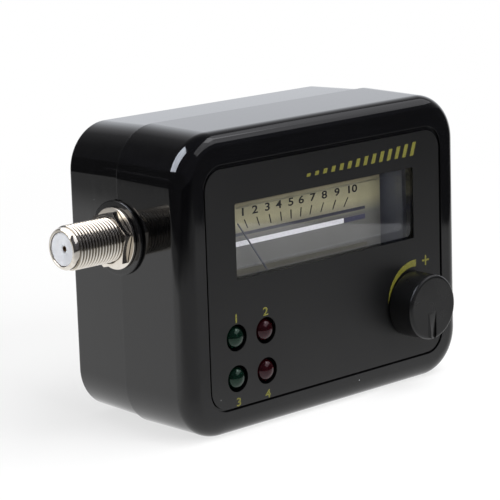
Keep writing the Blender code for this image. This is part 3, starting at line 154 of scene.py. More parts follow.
def block(name, low, high):
    """A box primitive between two corners."""
    deselect_all()
    low, high = Vector(low), Vector(high)
    bpy.ops.mesh.primitive_cube_add(size=1.0, location=(low + high) / 2, scale=high - low)
    return settle(bpy.context.object, name)


def rod(name, centre, axis, start, end, radius, sides=ROUND_SIDES):
    """A cylinder primitive along X or Y between two stations."""
    deselect_all()
    near, far = sorted((start, end))
    place = Vector(centre)
    place["XYZ".index(axis)] = (near + far) / 2
    turn = (math.pi / 2, 0.0, 0.0) if axis == "Y" else (0.0, math.pi / 2, 0.0)
    bpy.ops.mesh.primitive_cylinder_add(
        vertices=sides, radius=radius, depth=far - near, location=place, rotation=turn
    )
    return settle(bpy.context.object, name)


def pick(kind, test):
    """In edit mode, select only the faces, edges or vertices that pass a test."""
    mesh = bmesh.from_edit_mesh(bpy.context.object.data)
    bpy.ops.mesh.select_mode(type=kind)
    bpy.ops.mesh.select_all(action="DESELECT")
    for element in {"FACE": mesh.faces, "EDGE": mesh.edges, "VERT": mesh.verts}[kind]:
        element.select_set(bool(test(element)))
    mesh.select_flush_mode()
    bmesh.update_edit_mesh(bpy.context.object.data)


def edit(piece):
    """Open a piece in edit mode."""
    work_on(piece)
    bpy.ops.object.mode_set(mode="EDIT")


def done():
    """Leave edit mode."""
    bpy.ops.object.mode_set(mode="OBJECT")


def bevel(width, segments):
    """Round the edges that are selected in edit mode."""
    bpy.ops.mesh.bevel(
        offset=width, offset_type="OFFSET", segments=segments, affect="EDGES",
        clamp_overlap=True,
    )


def round_at(station, width, segments):
    """In edit mode, round the edges that lie at one depth."""
    pick("EDGE", lambda edge: lies_at(edge, "Y", station))
    bevel(width, segments)


def soften(piece, width, segments, test):
    """Round the edges of a piece that pass a test."""
    edit(piece)
    pick("EDGE", test)
    bevel(width, segments)
    done()


def face_outward():
    """In edit mode, turn all faces to look out of the body."""
    bpy.ops.mesh.select_all(action="SELECT")
    bpy.ops.mesh.normals_make_consistent(inside=False)


def runs_along(edge, axis):
    """Whether an edge runs along one axis."""
    span = edge.verts[1].co - edge.verts[0].co
    return abs(span["XYZ".index(axis)]) > ALONG_SHARE * span.length


def lies_at(element, axis, station):
    """Whether all of an element's corners are in the plane at one station."""
    index = "XYZ".index(axis)
    return all(abs(vert.co[index] - station) < PLANE_SLACK for vert in element.verts)


def use_modifier(piece, kind, **settings):
    """Add a modifier to a piece and apply it."""
    work_on(piece)
    modifier = piece.modifiers.new(kind.lower(), kind)
    for key, value in settings.items():
        setattr(modifier, key, value)
    bpy.ops.object.modifier_apply(modifier=modifier.name)


def combine(piece, tool, operation):
    """Cut or join a tool body and drop the tool."""
    use_modifier(piece, "BOOLEAN", operation=operation, solver="EXACT", object=tool)
    bpy.data.objects.remove(tool)


def join(name, pieces):
    """Join separate bodies into one object."""
    work_on(pieces[0])
    for other in pieces[1:]:
        other.select_set(True)
    bpy.ops.object.join()
    pieces[0].name = name
    pieces[0].data.name = name
    return pieces[0]


def shade(piece, angle=SOFT_ANGLE):
    """Smooth shading that keeps edges sharper than an angle, led by the larger faces."""
    work_on(piece)
    bpy.ops.object.shade_smooth_by_angle(angle=math.radians(angle))
    use_modifier(piece, "WEIGHTED_NORMAL", keep_sharp=True, weight=LARGE_FACE_WEIGHT)


def copy_of(piece, name, shift):
    """A copy with its own mesh, moved inside the mesh."""
    twin = piece.copy()
    twin.data = piece.data.copy()
    twin.name = name
    twin.data.name = name
    bpy.context.scene.collection.objects.link(twin)
    twin.data.transform(Matrix.Translation(shift))
    return twin


def mirrored(piece, name):
    """A copy mirrored across the middle plane, with its faces turned out again."""
    twin = copy_of(piece, name, (0, 0, 0))
    twin.data.transform(Matrix.Scale(-1.0, 4, (1, 0, 0)))
    twin.data.flip_normals()
    return twin


def hand_over(piece, body, slot, material, *nodes):
    """Give a finished piece its material and its body, and hide the CAD nodes that it stands for;
    the slot is not used.
    """
    piece.data.materials.clear()
    piece.data.materials.append(material)
    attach(piece, body)
    if nodes:
        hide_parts(*nodes)
    return piece


def rounded_block(name, low, high, radius, segments):
    """A box whose four edges along Y are rounded."""
    piece = block(name, low, high)
    soften(piece, radius, segments, lambda edge: runs_along(edge, "Y"))
    return piece


def turned(name, profile, centre, axis, steps=ROUND_SIDES, closed=False):
    """Spin a (station, radius) profile once round an axis, as on a lathe."""
    index = "XYZ".index(axis)
    deselect_all()
    bpy.ops.mesh.primitive_plane_add(size=MM, location=(0, 0, 0))
    piece = settle(bpy.context.object, name)
    edit(piece)
    bpy.ops.mesh.delete(type="VERT")
    mesh = bmesh.from_edit_mesh(piece.data)
    verts = []
    for station, radius in profile:
        point = Vector(centre)
        point[index] = station
        point.z += radius
        verts.append(mesh.verts.new(point))
    edges = [mesh.edges.new(pair) for pair in zip(verts, verts[1:])]
    if closed:
        edges.append(mesh.edges.new((verts[-1], verts[0])))
    for element in verts + edges:
        element.select_set(True)
    bmesh.update_edit_mesh(piece.data)
    direction = Vector((0, 0, 0))
    direction[index] = 1.0
    bpy.ops.mesh.spin(steps=steps, angle=2.0 * math.pi, center=centre, axis=direction)
    bpy.ops.mesh.select_all(action="SELECT")
    bpy.ops.mesh.remove_doubles(threshold=WELD)
    face_outward()
    done()
    return piece


def arc_profile(centre_station, centre_radius, radius, start, end, steps):
    """Points of a round in a lathe profile; angles in degrees from the station axis."""
    points = []
    for step in range(steps + 1):
        turn = math.radians(start + (end - start) * step / steps)
        points.append((
            centre_station + radius * math.cos(turn), centre_radius + radius * math.sin(turn)
        ))
    return points


# Materials. A scale counts noise cells per metre, a span is the stretch of a value that is
# used, a bump is its strength and height, and dust is its scale, speck size and cover.

FULL_SPAN = (0.0, 1.0)
MIDDLE_SPAN = (0.3, 0.7)
PATCH_SPAN = (0.35, 0.7)
BLOOM_SPAN = (0.35, 0.75)
SPECK_CORE = 0.6

GLOSS_IOR = 1.53
GLOSS_HAZE_SCALE = 60.0
GLOSS_HAZE_LIFT = 1.5
GLOSS_DUST = (240.0, 0.035, 0.10)
GLOSS_DUST_COLOUR = (0.35, 0.36, 0.38)
WIPE_SCALE = 900.0
WIPE_STRETCH = (1.0, 1.0, 0.08)
WIPE_ROUGH = (0.0, 0.05)
WIPE_BUMP = (0.05, 0.004 * MM)
WAVE_SCALE = 35.0
WAVE_BUMP = (0.12, 0.05 * MM)

SHEET_SHEEN = 0.66
SHEET_CLOUD_SCALE = 45.0
SHEET_CLOUD_DARK = 0.85
SHEET_CLOUD_LIGHT = 1.12
SHEET_GRAIN_SCALE = 5200.0
SHEET_GRAIN_SPAN = (0.55, 0.75)
SHEET_GRAIN_COVER = (0.0, 0.35)
SHEET_GRAIN_LIFT = 2.0
SHEET_DUST = (300.0, 0.045, 0.15)
SHEET_DUST_COLOUR = (0.30, 0.30, 0.31)
SHEET_ROUGH = (-0.04, 0.05)
SHEET_BUMP = (0.25, 0.01 * MM)

SATIN_GRAIN_SCALE = 2600.0
SATIN_RUB_SCALE = 120.0
SATIN_RUB_LIFT = 1.35
SATIN_ROUGH = (0.05, -0.06)
SATIN_BUMP = (0.3, 0.02 * MM)

METAL_LINE_SCALE = 1500.0
METAL_LINE_DETAIL = 4.0
METAL_LINES_ALONG = (1.0, 0.06, 0.06)
COIL_TURNS_ALONG = (1.0, 6.0, 1.0)
METAL_BLOOM_SCALE = 160.0
METAL_BLOOM_TINT = (0.86, 0.82, 0.76)
METAL_ROUGH_SPAN = (0.3, 0.8)
METAL_ROUGH = (-0.05, 0.08)
METAL_BUMP = (0.18, 0.006 * MM)

THREAD_BLOOM_SCALE = 700.0
# Painted shade in the thread roots: below a radius from the port's axis the plated colour gives
# way to a dark tone, which is darker towards the top.
ROOT_SHADE_RADIUS = 4.44 * MM
UNSHADED_RADIUS = 4.68 * MM
ROOT_SHADE_LOW = (0.36, 0.33, 0.28)
ROOT_SHADE_HIGH = (0.1, 0.09, 0.08)
ROOT_SHADE_FALL = -0.6 * MM
ROOT_SHADE_RISE = 1.0 * MM
ROOT_ROUGH = 0.35

INK_SCALE = 2400.0
INK_SPAN = (0.4, 0.8)
INK_THIN = 0.78
INK_BUMP = (0.15, 0.008 * MM)

EPOXY_ROUGH = 0.09
EPOXY_IOR = 1.56
EPOXY_HAZE_SCALE = 500.0
EPOXY_ROUGH_RANGE = (0.08, 0.12)
GREEN_TINT = ((0.0004, 0.0048, 0.0026), (0.0004, 0.0042, 0.0024), (0.72, 1.0, 0.84))
RED_TINT = ((0.0082, 0.0004, 0.0009), (0.0074, 0.0003, 0.0009), (1.0, 0.74, 0.80))

SCALE_LINE_Z = 40.0 * MM
# Painted shade: a darker brown band at the top of the plate, under the window's upper rim.
TOP_SHADE_Z = (45.9 * MM, 46.9 * MM)
TOP_SHADE_COVER = (0.0, 0.85)
CREAM_Z = (38.9 * MM, 42.4 * MM)
PLATE_CREAM = (0.35, 0.328, 0.205)
PLATE_GREY = (0.117, 0.117, 0.111)
PLATE_TOP_SHADE = (0.21, 0.175, 0.11)
PLATE_ROUGH = 0.55
PLATE_ROUGH_RANGE = (0.5, 0.6)
PLATE_CLOUD_SCALE = 90.0
PLATE_CLOUD_COVER = (0.0, 0.22)
PLATE_CLOUD_TONE = 0.7
PAPER_SCALE = 1800.0
PAPER_SPAN = (0.5, 0.8)
PAPER_COVER = (0.0, 0.15)
PAPER_TONE = 0.6
PAPER_BUMP = (0.15, 0.006 * MM)

COVER_TINT = (0.93, 0.95, 1.0)
COVER_ROUGH = 0.02
COVER_IOR = 1.49
SMEAR_SCALE = 140.0
SMEAR_SPAN = (0.45, 0.8)
SMEAR_SHEEN = (0.012, 0.035)
SMEAR_ROUGH_SPAN = (0.4, 0.8)
SMEAR_ROUGH = (0.015, 0.06)


def scaled(colour, share):
    """A colour times one number."""
    return tuple(c * share for c in colour)


def around(centre_value, offsets):
    """Two values, each at an offset from one."""
    return tuple(centre_value + offset for offset in offsets)


def new_material(name, colour, roughness, metallic=0.0):
    """A Principled material with plain values."""
    material = bpy.data.materials.new(name)
    material.use_nodes = True
    tree = material.node_tree
    shader = tree.nodes["Principled BSDF"]
    shader.inputs["Base Color"].default_value = (*colour, 1.0)
    shader.inputs["Roughness"].default_value = roughness
    shader.inputs["Metallic"].default_value = metallic
    return material, tree, shader


def object_noise(tree, scale, detail=3.0, stretch=(1.0, 1.0, 1.0)):
    """A noise on Object coordinates."""
    coordinates = tree.nodes.new("ShaderNodeTexCoord")
    mapping = tree.nodes.new("ShaderNodeMapping")
    mapping.inputs["Scale"].default_value = stretch
    noise = tree.nodes.new("ShaderNodeTexNoise")
    noise.inputs["Scale"].default_value = scale
    noise.inputs["Detail"].default_value = detail
    tree.links.new(coordinates.outputs["Object"], mapping.inputs["Vector"])
    tree.links.new(mapping.outputs["Vector"], noise.inputs["Vector"])
    return noise.outputs["Fac"]


def object_axes(tree):
    """Object coordinates, whole and split into X, Y and Z."""
    coordinates = tree.nodes.new("ShaderNodeTexCoord").outputs["Object"]
    axes = tree.nodes.new("ShaderNodeSeparateXYZ")
    tree.links.new(coordinates, axes.inputs["Vector"])
    return coordinates, axes.outputs


def work_out(tree, operation, first, second=None):
    """One step of arithmetic on a value, with a number or with another value."""
    node = tree.nodes.new("ShaderNodeMath")
    node.operation = operation
    tree.links.new(first, node.inputs[0])
    if isinstance(second, float):
        node.inputs[1].default_value = second
    elif second is not None:
        tree.links.new(second, node.inputs[1])
    return node.outputs["Value"]


def length_of(tree, vector):
    """The length of a vector."""
    node = tree.nodes.new("ShaderNodeVectorMath")
    node.operation = "LENGTH"
    tree.links.new(vector, node.inputs[0])
    return node.outputs["Value"]


def spread(tree, value, span, result=FULL_SPAN):
    """Map a value's span onto another."""
    node = tree.nodes.new("ShaderNodeMapRange")
    for key, number in zip(("From Min", "From Max", "To Min", "To Max"), (*span, *result)):
        node.inputs[key].default_value = number
    tree.links.new(value, node.inputs["Value"])
    return node.outputs["Result"]


def blend_colours(tree, factor, first, second):
    """Mix two colours, each a tuple or a socket, by a factor."""
    node = tree.nodes.new("ShaderNodeMix")
    node.data_type = "RGBA"
    tree.links.new(factor, node.inputs["Factor"])
    for key, colour in (("A", first), ("B", second)):
        socket = [s for s in node.inputs if s.name == key and s.type == "RGBA"][0]
        if isinstance(colour, tuple):
            socket.default_value = (*colour, 1.0)
        else:
            tree.links.new(colour, socket)
    return [s for s in node.outputs if s.type == "RGBA"][0]


def wire_up(tree, shader, base, rough=None):
    """Put a colour and a roughness into the shader."""
    tree.links.new(base, shader.inputs["Base Color"])
    if rough is not None:
        tree.links.new(rough, shader.inputs["Roughness"])


def add_bump(tree, shader, height, strength, distance):
    """Put a height through a Bump node, after any bump that is there already."""
    node = tree.nodes.new("ShaderNodeBump")
    node.inputs["Strength"].default_value = strength
    node.inputs["Distance"].default_value = distance
    tree.links.new(height, node.inputs["Height"])
    earlier = shader.inputs["Normal"].links
    if earlier:
        tree.links.new(earlier[0].from_socket, node.inputs["Normal"])
    tree.links.new(node.outputs["Normal"], shader.inputs["Normal"])


def dust(tree, scale, size, cover):
    """Small specks: 1 on a speck and 0 elsewhere, on a share of the cells."""
    coordinates = tree.nodes.new("ShaderNodeTexCoord")
    cells = tree.nodes.new("ShaderNodeTexVoronoi")
    cells.inputs["Scale"].default_value = scale
    tree.links.new(coordinates.outputs["Object"], cells.inputs["Vector"])
    near = spread(tree, cells.outputs["Distance"], (size, size * SPECK_CORE))
    chance = tree.nodes.new("ShaderNodeSeparateColor")
    tree.links.new(cells.outputs["Color"], chance.inputs["Color"])
    few = work_out(tree, "LESS_THAN", chance.outputs["Red"], cover)
    return work_out(tree, "MULTIPLY", near, few)


def gloss_moulding(name, colour, roughness):
    """Polished black moulding: slight waviness, fine wipe marks and a few dust specks."""
    material, tree, shader = new_material(name, colour, roughness)
    shader.inputs["IOR"].default_value = GLOSS_IOR
    haze = spread(tree, object_noise(tree, GLOSS_HAZE_SCALE), MIDDLE_SPAN)
    marks = object_noise(tree, WIPE_SCALE, stretch=WIPE_STRETCH)
    base = blend_colours(tree, haze, colour, scaled(colour, GLOSS_HAZE_LIFT))
    base = blend_colours(tree, dust(tree, *GLOSS_DUST), base, GLOSS_DUST_COLOUR)
    wire_up(tree, shader, base, spread(tree, marks, BLOOM_SPAN, around(roughness, WIPE_ROUGH)))
    add_bump(tree, shader, object_noise(tree, WAVE_SCALE, detail=1.0), *WAVE_BUMP)
    add_bump(tree, shader, marks, *WIPE_BUMP)
    return material


def matte_sheet(name, colour, roughness):
    """Printed charcoal sheet with a fine pearl grain and stray specks."""
    material, tree, shader = new_material(name, colour, roughness)
    shader.inputs["Specular IOR Level"].default_value = SHEET_SHEEN
    grain = object_noise(tree, SHEET_GRAIN_SCALE, detail=2.0)
    cloud = object_noise(tree, SHEET_CLOUD_SCALE)
    base = blend_colours(
        tree, spread(tree, cloud, MIDDLE_SPAN), scaled(colour, SHEET_CLOUD_DARK),
        scaled(colour, SHEET_CLOUD_LIGHT),
    )
    base = blend_colours(
        tree, spread(tree, grain, SHEET_GRAIN_SPAN, SHEET_GRAIN_COVER), base,
        scaled(colour, SHEET_GRAIN_LIFT),
    )
    base = blend_colours(tree, dust(tree, *SHEET_DUST), base, SHEET_DUST_COLOUR)
    wire_up(tree, shader, base, spread(tree, cloud, MIDDLE_SPAN, around(roughness, SHEET_ROUGH)))
    add_bump(tree, shader, grain, *SHEET_BUMP)
    return material


def satin_plastic(name, colour, roughness):
    """Moulded plastic with a fine spark grain and rubbed patches."""
    material, tree, shader = new_material(name, colour, roughness)
    rubbed = object_noise(tree, SATIN_RUB_SCALE)
    base = blend_colours(
        tree, spread(tree, rubbed, PATCH_SPAN), colour, scaled(colour, SATIN_RUB_LIFT)
    )
    wire_up(tree, shader, base, spread(tree, rubbed, PATCH_SPAN, around(roughness, SATIN_ROUGH)))
    add_bump(tree, shader, object_noise(tree, SATIN_GRAIN_SCALE), *SATIN_BUMP)
    return material


def bloomed(tree, bloom, colour):
    """A metal's colour, yellower where its bloom lies."""
    dull = tuple(c * share for c, share in zip(colour, METAL_BLOOM_TINT))
    return blend_colours(tree, spread(tree, bloom, BLOOM_SPAN), colour, dull)


def add_machining(tree, shader, along):
    """Fine machining lines along a metal's axis."""
    lines = object_noise(tree, METAL_LINE_SCALE, METAL_LINE_DETAIL, along)
    add_bump(tree, shader, lines, *METAL_BUMP)


def plated_metal(name, colour, roughness, marks_along=METAL_LINES_ALONG):
    """Plated or cut metal: fine machining lines and a duller bloom."""
    material, tree, shader = new_material(name, colour, roughness, metallic=1.0)
    bloom = object_noise(tree, METAL_BLOOM_SCALE)
    rough = spread(tree, bloom, METAL_ROUGH_SPAN, around(roughness, METAL_ROUGH))
    wire_up(tree, shader, bloomed(tree, bloom, colour), rough)
    add_machining(tree, shader, marks_along)
    return material


def threaded_metal(name, colour, roughness):
    """Plated metal whose thread roots carry painted shade, darker towards the top, as measured
    from the axis; the roots are also duller.
    """
    material, tree, shader = new_material(name, colour, roughness, metallic=1.0)
    axes = object_axes(tree)[1]
    centre = middle("port_body_right")
    flat = tree.nodes.new("ShaderNodeCombineXYZ")
    for axis, place in (("Y", centre.y), ("Z", centre.z)):
        tree.links.new(work_out(tree, "SUBTRACT", axes[axis], place), flat.inputs[axis])
    # Painted shade in the thread roots, from the distance to the port's axis; the crests and the
    # thread's outer end stay unshaded.
    crest = spread(tree, length_of(tree, flat.outputs["Vector"]), (ROOT_SHADE_RADIUS, UNSHADED_RADIUS))
    station = work_out(tree, "ABSOLUTE", axes["X"])
    end = HALF_WIDTH + THREAD_END
    unshaded = larger(tree, crest, spread(tree, station, (end - EDGE_BREAK, end)))
    plated = bloomed(tree, object_noise(tree, THREAD_BLOOM_SCALE), colour)
    # The painted root shade is darker towards the top.
    height = spread(tree, axes["Z"], around(centre.z, (ROOT_SHADE_FALL, ROOT_SHADE_RISE)))
    root_shade = blend_colours(tree, height, ROOT_SHADE_LOW, ROOT_SHADE_HIGH)
    rough = spread(tree, unshaded, FULL_SPAN, (ROOT_ROUGH, roughness))
    wire_up(tree, shader, blend_colours(tree, unshaded, root_shade, plated), rough)
    add_machining(tree, shader, METAL_LINES_ALONG)
    return material


def ink(name, colour, roughness=0.5):
    """Screen-printed ink: slightly uneven cover."""
    material, tree, shader = new_material(name, colour, roughness)
    cover = object_noise(tree, INK_SCALE, detail=2.0)
    thin = scaled(colour, INK_THIN)
    wire_up(tree, shader, blend_colours(tree, spread(tree, cover, INK_SPAN), colour, thin))
    add_bump(tree, shader, cover, *INK_BUMP)
    return material


def tinted_epoxy(name, colour, deep_colour, sheen_colour):
    """Tinted lamp body: glossy, darker in the depth, with a faint mould haze."""
    material, tree, shader = new_material(name, colour, EPOXY_ROUGH)
    shader.inputs["IOR"].default_value = EPOXY_IOR
    shader.inputs["Specular Tint"].default_value = (*sheen_colour, 1.0)
    haze = object_noise(tree, EPOXY_HAZE_SCALE)
    base = blend_colours(tree, spread(tree, haze, PATCH_SPAN), colour, deep_colour)
    wire_up(tree, shader, base, spread(tree, haze, MIDDLE_SPAN, EPOXY_ROUGH_RANGE))
    return material


def plate_finish(name):
    """Printed plate: cream above the base line, grey below, and a darker brown band of painted
    shade at the top, under the window's upper rim.
    """
    material, tree, shader = new_material(name, PLATE_CREAM, PLATE_ROUGH)
    axes = object_axes(tree)[1]
    paper = object_noise(tree, PAPER_SCALE)
    cloud = object_noise(tree, PLATE_CLOUD_SCALE)
    base = blend_colours(tree, spread(tree, axes["Z"], CREAM_Z), PLATE_GREY, PLATE_CREAM)
    for cover, tone in (
        # painted shade at the top of the plate, under the window's upper rim
        (spread(tree, axes["Z"], TOP_SHADE_Z, TOP_SHADE_COVER), PLATE_TOP_SHADE),
        (spread(tree, cloud, BLOOM_SPAN, PLATE_CLOUD_COVER), scaled(PLATE_GREY, PLATE_CLOUD_TONE)),
        (spread(tree, paper, PAPER_SPAN, PAPER_COVER), scaled(PLATE_CREAM, PAPER_TONE)),
    ):
        base = blend_colours(tree, cover, base, tone)
    wire_up(tree, shader, base, spread(tree, cloud, MIDDLE_SPAN, PLATE_ROUGH_RANGE))
    add_bump(tree, shader, paper, *PAPER_BUMP)
    return material


def clear_moulding(name):
    """Clear polished moulding: sheen that rises at a slant, and the rest lets light through."""
    material, tree, shader = new_material(name, COVER_TINT, COVER_ROUGH, metallic=1.0)
    sheen = tree.nodes.new("ShaderNodeFresnel")
    side = tree.nodes.new("ShaderNodeNewGeometry").outputs["Backfacing"]
    bend = spread(tree, side, FULL_SPAN, (COVER_IOR, 1.0 / COVER_IOR))
    tree.links.new(bend, sheen.inputs["IOR"])
    smear = object_noise(tree, SMEAR_SCALE, detail=2.0)
    extra = spread(tree, smear, SMEAR_SPAN, SMEAR_SHEEN)
    total = work_out(tree, "ADD", sheen.outputs["Fac"], extra)
    tree.links.new(total, shader.inputs["Alpha"])
    rough = spread(tree, smear, SMEAR_ROUGH_SPAN, SMEAR_ROUGH)
    tree.links.new(rough, shader.inputs["Roughness"])
    return material


# Each slot's kind of finish, material name, colour and roughness
FINISHES = {
    "case_plastic": (gloss_moulding, "case_gloss_black", (0.0013, 0.0013, 0.0016), 0.05),
    "label_sheet": (matte_sheet, "label_charcoal", (0.0024, 0.0024, 0.0026), 0.46),
    "label_ink": (ink, "label_print_olive", (0.112, 0.106, 0.014)),
    "clear_plastic": (clear_moulding, "cover_clear"),
    "frame_plastic": (satin_plastic, "meter_frame_grey", (0.125, 0.133, 0.165), 0.42),
    "scale_print": (plate_finish, "plate_cream_and_grey"),
    "plate_white": (ink, "plate_white_bar", (0.75, 0.75, 0.8)),
    "plate_blue": (ink, "plate_blue_bar", (0.06, 0.06, 0.10)),
    "plate_black": (ink, "plate_black_ink", (0.015, 0.015, 0.02)),
    "plate_line": (ink, "plate_line_grey", (0.045, 0.045, 0.062), 0.35),
    "plate_lip": (satin_plastic, "plate_lip_brown", (0.062, 0.058, 0.042), 0.5),
    "socket": (plated_metal, "contact_dark_bronze", (0.16, 0.10, 0.06), 0.45),
    "needle_paint": (satin_plastic, "needle_dark", (0.03, 0.032, 0.05), 0.35),
    "copper_wire": (plated_metal, "coil_copper", (0.6, 0.27, 0.14), 0.35, COIL_TURNS_ALONG),
    "soft_iron": (plated_metal, "yoke_iron", (0.42, 0.41, 0.4), 0.42),
    "magnet": (plated_metal, "magnet_grey", (0.2, 0.2, 0.2), 0.5),
    "brass": (plated_metal, "bridge_brass", (0.66, 0.5, 0.25), 0.34),
    "steel": (plated_metal, "screw_steel", (0.5, 0.5, 0.5), 0.32),
    "spring_bronze": (plated_metal, "spring_bronze", (0.6, 0.32, 0.17), 0.35),
    "green_lamp": (tinted_epoxy, "lamp_green", *GREEN_TINT),
    "red_lamp": (tinted_epoxy, "lamp_red", *RED_TINT),
    "knob_plastic": (satin_plastic, "knob_black", (0.0032, 0.0032, 0.0034), 0.32),
    "tin_plate": (plated_metal, "can_tin", (0.7, 0.7, 0.69), 0.3),
    "thread": (threaded_metal, "thread_nickel", (0.80, 0.765, 0.71), 0.12),
    "nickel": (plated_metal, "port_nickel", (0.80, 0.765, 0.71), 0.11),
    "white_insulator": (satin_plastic, "insulator_white", (0.86, 0.88, 0.93), 0.40),
    "black_ring": (gloss_moulding, "ring_black", (0.004, 0.004, 0.0045), 0.08),
    "board": (satin_plastic, "board_green", (0.02, 0.16, 0.07), 0.4),
    "chip_plastic": (satin_plastic, "chip_black", (0.02, 0.02, 0.021), 0.55),
    "capacitor_sleeve": (satin_plastic, "sleeve_blue", (0.02, 0.05, 0.2), 0.3),
    "ferrite": (satin_plastic, "ferrite_grey", (0.09, 0.09, 0.1), 0.65),
}


def build_materials():
    """One finish for each stuff."""
    return {slot: make(*values) for slot, (make, *values) in FINISHES.items()}


# Case

def case_block(name, low_y, high_y, inset, side_drop=0.0, end_drop=0.0, top_drop=0.0):
    """The case outline between two depths; its far end from the seam is drawn in by drafts."""
    piece = block(
        name,
        (-HALF_WIDTH + inset, low_y, inset),
        (HALF_WIDTH - inset, high_y, CASE_HEIGHT - inset),
    )
    end_y = low_y if abs(low_y - SEAM_Y) > abs(high_y - SEAM_Y) else high_y
    edit(piece)
    pick("VERT", lambda vert: abs(vert.co.y - end_y) < FIT_GAP and vert.co.z > CASE_HEIGHT / 2)
    bpy.ops.transform.translate(value=(0.0, 0.0, -top_drop - end_drop))
    pick("VERT", lambda vert: abs(vert.co.y - end_y) < FIT_GAP and vert.co.z < CASE_HEIGHT / 2)
    bpy.ops.transform.translate(value=(0.0, 0.0, end_drop))
    for side in (-1, 1):
        pick("VERT", lambda vert: abs(vert.co.y - end_y) < FIT_GAP and side * vert.co.x > 0.0)
        bpy.ops.transform.translate(value=(-side * side_drop, 0.0, 0.0))
    pick("EDGE", lambda edge: not lies_at(edge, "Y", low_y) and not lies_at(edge, "Y", high_y))
    bevel(CORNER_RADIUS - inset, CORNER_STEPS)
    done()
    return piece


def corner_places():
    """The corner posts' axes, from the case screws."""
    return [middle(f"case_screw_{index + 1}") for index in range(CASE_SCREWS)]


def port_seats(piece):
    """Cut the round seats that the two ports sit in."""
    centre = middle("port_body_left")
    for side in SIDES.values():
        near, far = side * (HALF_WIDTH - INSET - OVERRUN), side * (HALF_WIDTH + OVERRUN)
        combine(piece, rod("seat", centre, "X", near, far, PORT_SEAT_RADIUS), "DIFFERENCE")


def front_shell(material):
    """Front moulding: rounded front edge, recess for the sheet, openings, tongue and posts."""
    shell = case_block("front_shell_moulding", FACE_Y, SEAM_Y, 0.0, top_drop=TOP_DRAFT)
    edit(shell)
    round_at(FACE_Y, FRONT_ROUND, FRONT_STEPS)
    round_at(SEAM_Y, EDGE_BREAK, 3)
    done()
    tongue_y = SEAM_Y + TONGUE_LENGTH
    tongue = case_block("tongue", SEAM_Y - OVERRUN, tongue_y, INSET - TONGUE_THICKNESS)
    combine(shell, tongue, "UNION")
    hollow = case_block(
        "hollow", FACE_Y + PANEL_WALL, tongue_y + OVERRUN, INSET, top_drop=TOP_DRAFT
    )
    combine(shell, hollow, "DIFFERENCE")
    for place in corner_places():
        post = rod(
            "post", place, "Y", FACE_Y + PANEL_WALL - FIT_GAP, tongue_y - SEAT_GAP,
            POST_RADIUS, POST_SIDES,
        )
        combine(shell, post, "UNION")
        pilot = rod("pilot", place, "Y", FACE_Y + PANEL_WALL + OVERRUN, tongue_y + OVERRUN,
                    PILOT_RADIUS, HOLE_SIDES)
        combine(shell, pilot, "DIFFERENCE")
    recess = rounded_block(
        "recess",
        (RECESS_LOW.x, FACE_Y - OVERRUN, RECESS_LOW.z),
        (RECESS_HIGH.x, FACE_Y + RECESS_DEPTH, RECESS_HIGH.z),
        RECESS_RADIUS, RECESS_STEPS,
    )
    combine(shell, recess, "DIFFERENCE")
    open_face(shell, FACE_Y - OVERRUN, FACE_Y + PANEL_WALL + OVERRUN)
    port_seats(shell)
    soften(shell, EDGE_BREAK, 2, is_recess_rim)
    shade(shell)
    return hand_over(shell, "case", "case_plastic", material, "front_shell")


def is_recess_rim(edge):
    """Whether an edge is on the recess's rim in the face plane."""
    if not lies_at(edge, "Y", FACE_Y):
        return False
    point = (edge.verts[0].co + edge.verts[1].co) / 2
    inside_x = RECESS_LOW.x - RIM_SLACK < point.x < RECESS_HIGH.x + RIM_SLACK
    inside_z = RECESS_LOW.z - RIM_SLACK < point.z < RECESS_HIGH.z + RIM_SLACK
    return inside_x and inside_z


def open_face(piece, near_y, far_y):
    """Cut the window, the four lamp holes and the shaft hole through a face."""
    window = rounded_block(
        "window", (WINDOW_LOW.x, near_y, WINDOW_LOW.z), (WINDOW_HIGH.x, far_y, WINDOW_HIGH.z),
        WINDOW_RADIUS, WINDOW_STEPS,
    )
    combine(piece, window, "DIFFERENCE")
    for lamp in LAMPS:
        hole = rod("hole", middle(lamp), "Y", near_y, far_y, LAMP_HOLE_RADIUS)
        combine(piece, hole, "DIFFERENCE")
    hole = rod("hole", middle("knob"), "Y", near_y, far_y, SHAFT_HOLE_RADIUS)
    combine(piece, hole, "DIFFERENCE")


def rear_shell(material):
    """Rear moulding, a step in from the front one, with the four screw wells."""
    drafts = {"side_drop": REAR_SIDE_DRAFT, "end_drop": REAR_END_DRAFT}
    shell = case_block("rear_shell_moulding", SEAM_Y, BACK_Y, SEAM_STEP, **drafts)
    edit(shell)
    round_at(BACK_Y, REAR_ROUND, REAR_STEPS)
    round_at(SEAM_Y, EDGE_BREAK, 3)
    done()
    hollow = case_block("hollow", SEAM_Y - OVERRUN, BACK_Y - WALL, INSET, **drafts)
    combine(shell, hollow, "DIFFERENCE")
    rebate_y = SEAM_Y + TONGUE_LENGTH + FIT_GAP
    rebate = case_block(
        "rebate", SEAM_Y - OVERRUN, rebate_y, INSET - TONGUE_THICKNESS - FIT_GAP
    )
    combine(shell, rebate, "DIFFERENCE")
    seat_y = SEAM_Y + TUBE_FLOOR
    for place in corner_places():
        tube = rod("tube", place, "Y", rebate_y, BACK_Y - WALL + FIT_GAP, TUBE_RADIUS, POST_SIDES)
        combine(shell, tube, "UNION")
        well = rod("well", place, "Y", seat_y, BACK_Y + OVERRUN, WELL_RADIUS, MIDDLE_SIDES)
        combine(shell, well, "DIFFERENCE")
        hole = rod("hole", place, "Y", SEAM_Y, seat_y + OVERRUN, TUBE_HOLE_RADIUS, HOLE_SIDES)
        combine(shell, hole, "DIFFERENCE")
    port_seats(shell)
    soften(shell, EDGE_BREAK, 2, is_well_rim)
    shade(shell)
    return hand_over(shell, "case", "case_plastic", material, "rear_shell")


def is_well_rim(edge):
    """Whether an edge is on a screw well's rim in the back plane."""
    if not lies_at(edge, "Y", BACK_Y):
        return False
    return any(
        all(
            math.hypot(vert.co.x - place.x, vert.co.z - place.z) < WELL_RADIUS + RIM_SLACK
            for vert in edge.verts
        )
        for place in corner_places()
    )


# Printed sheet

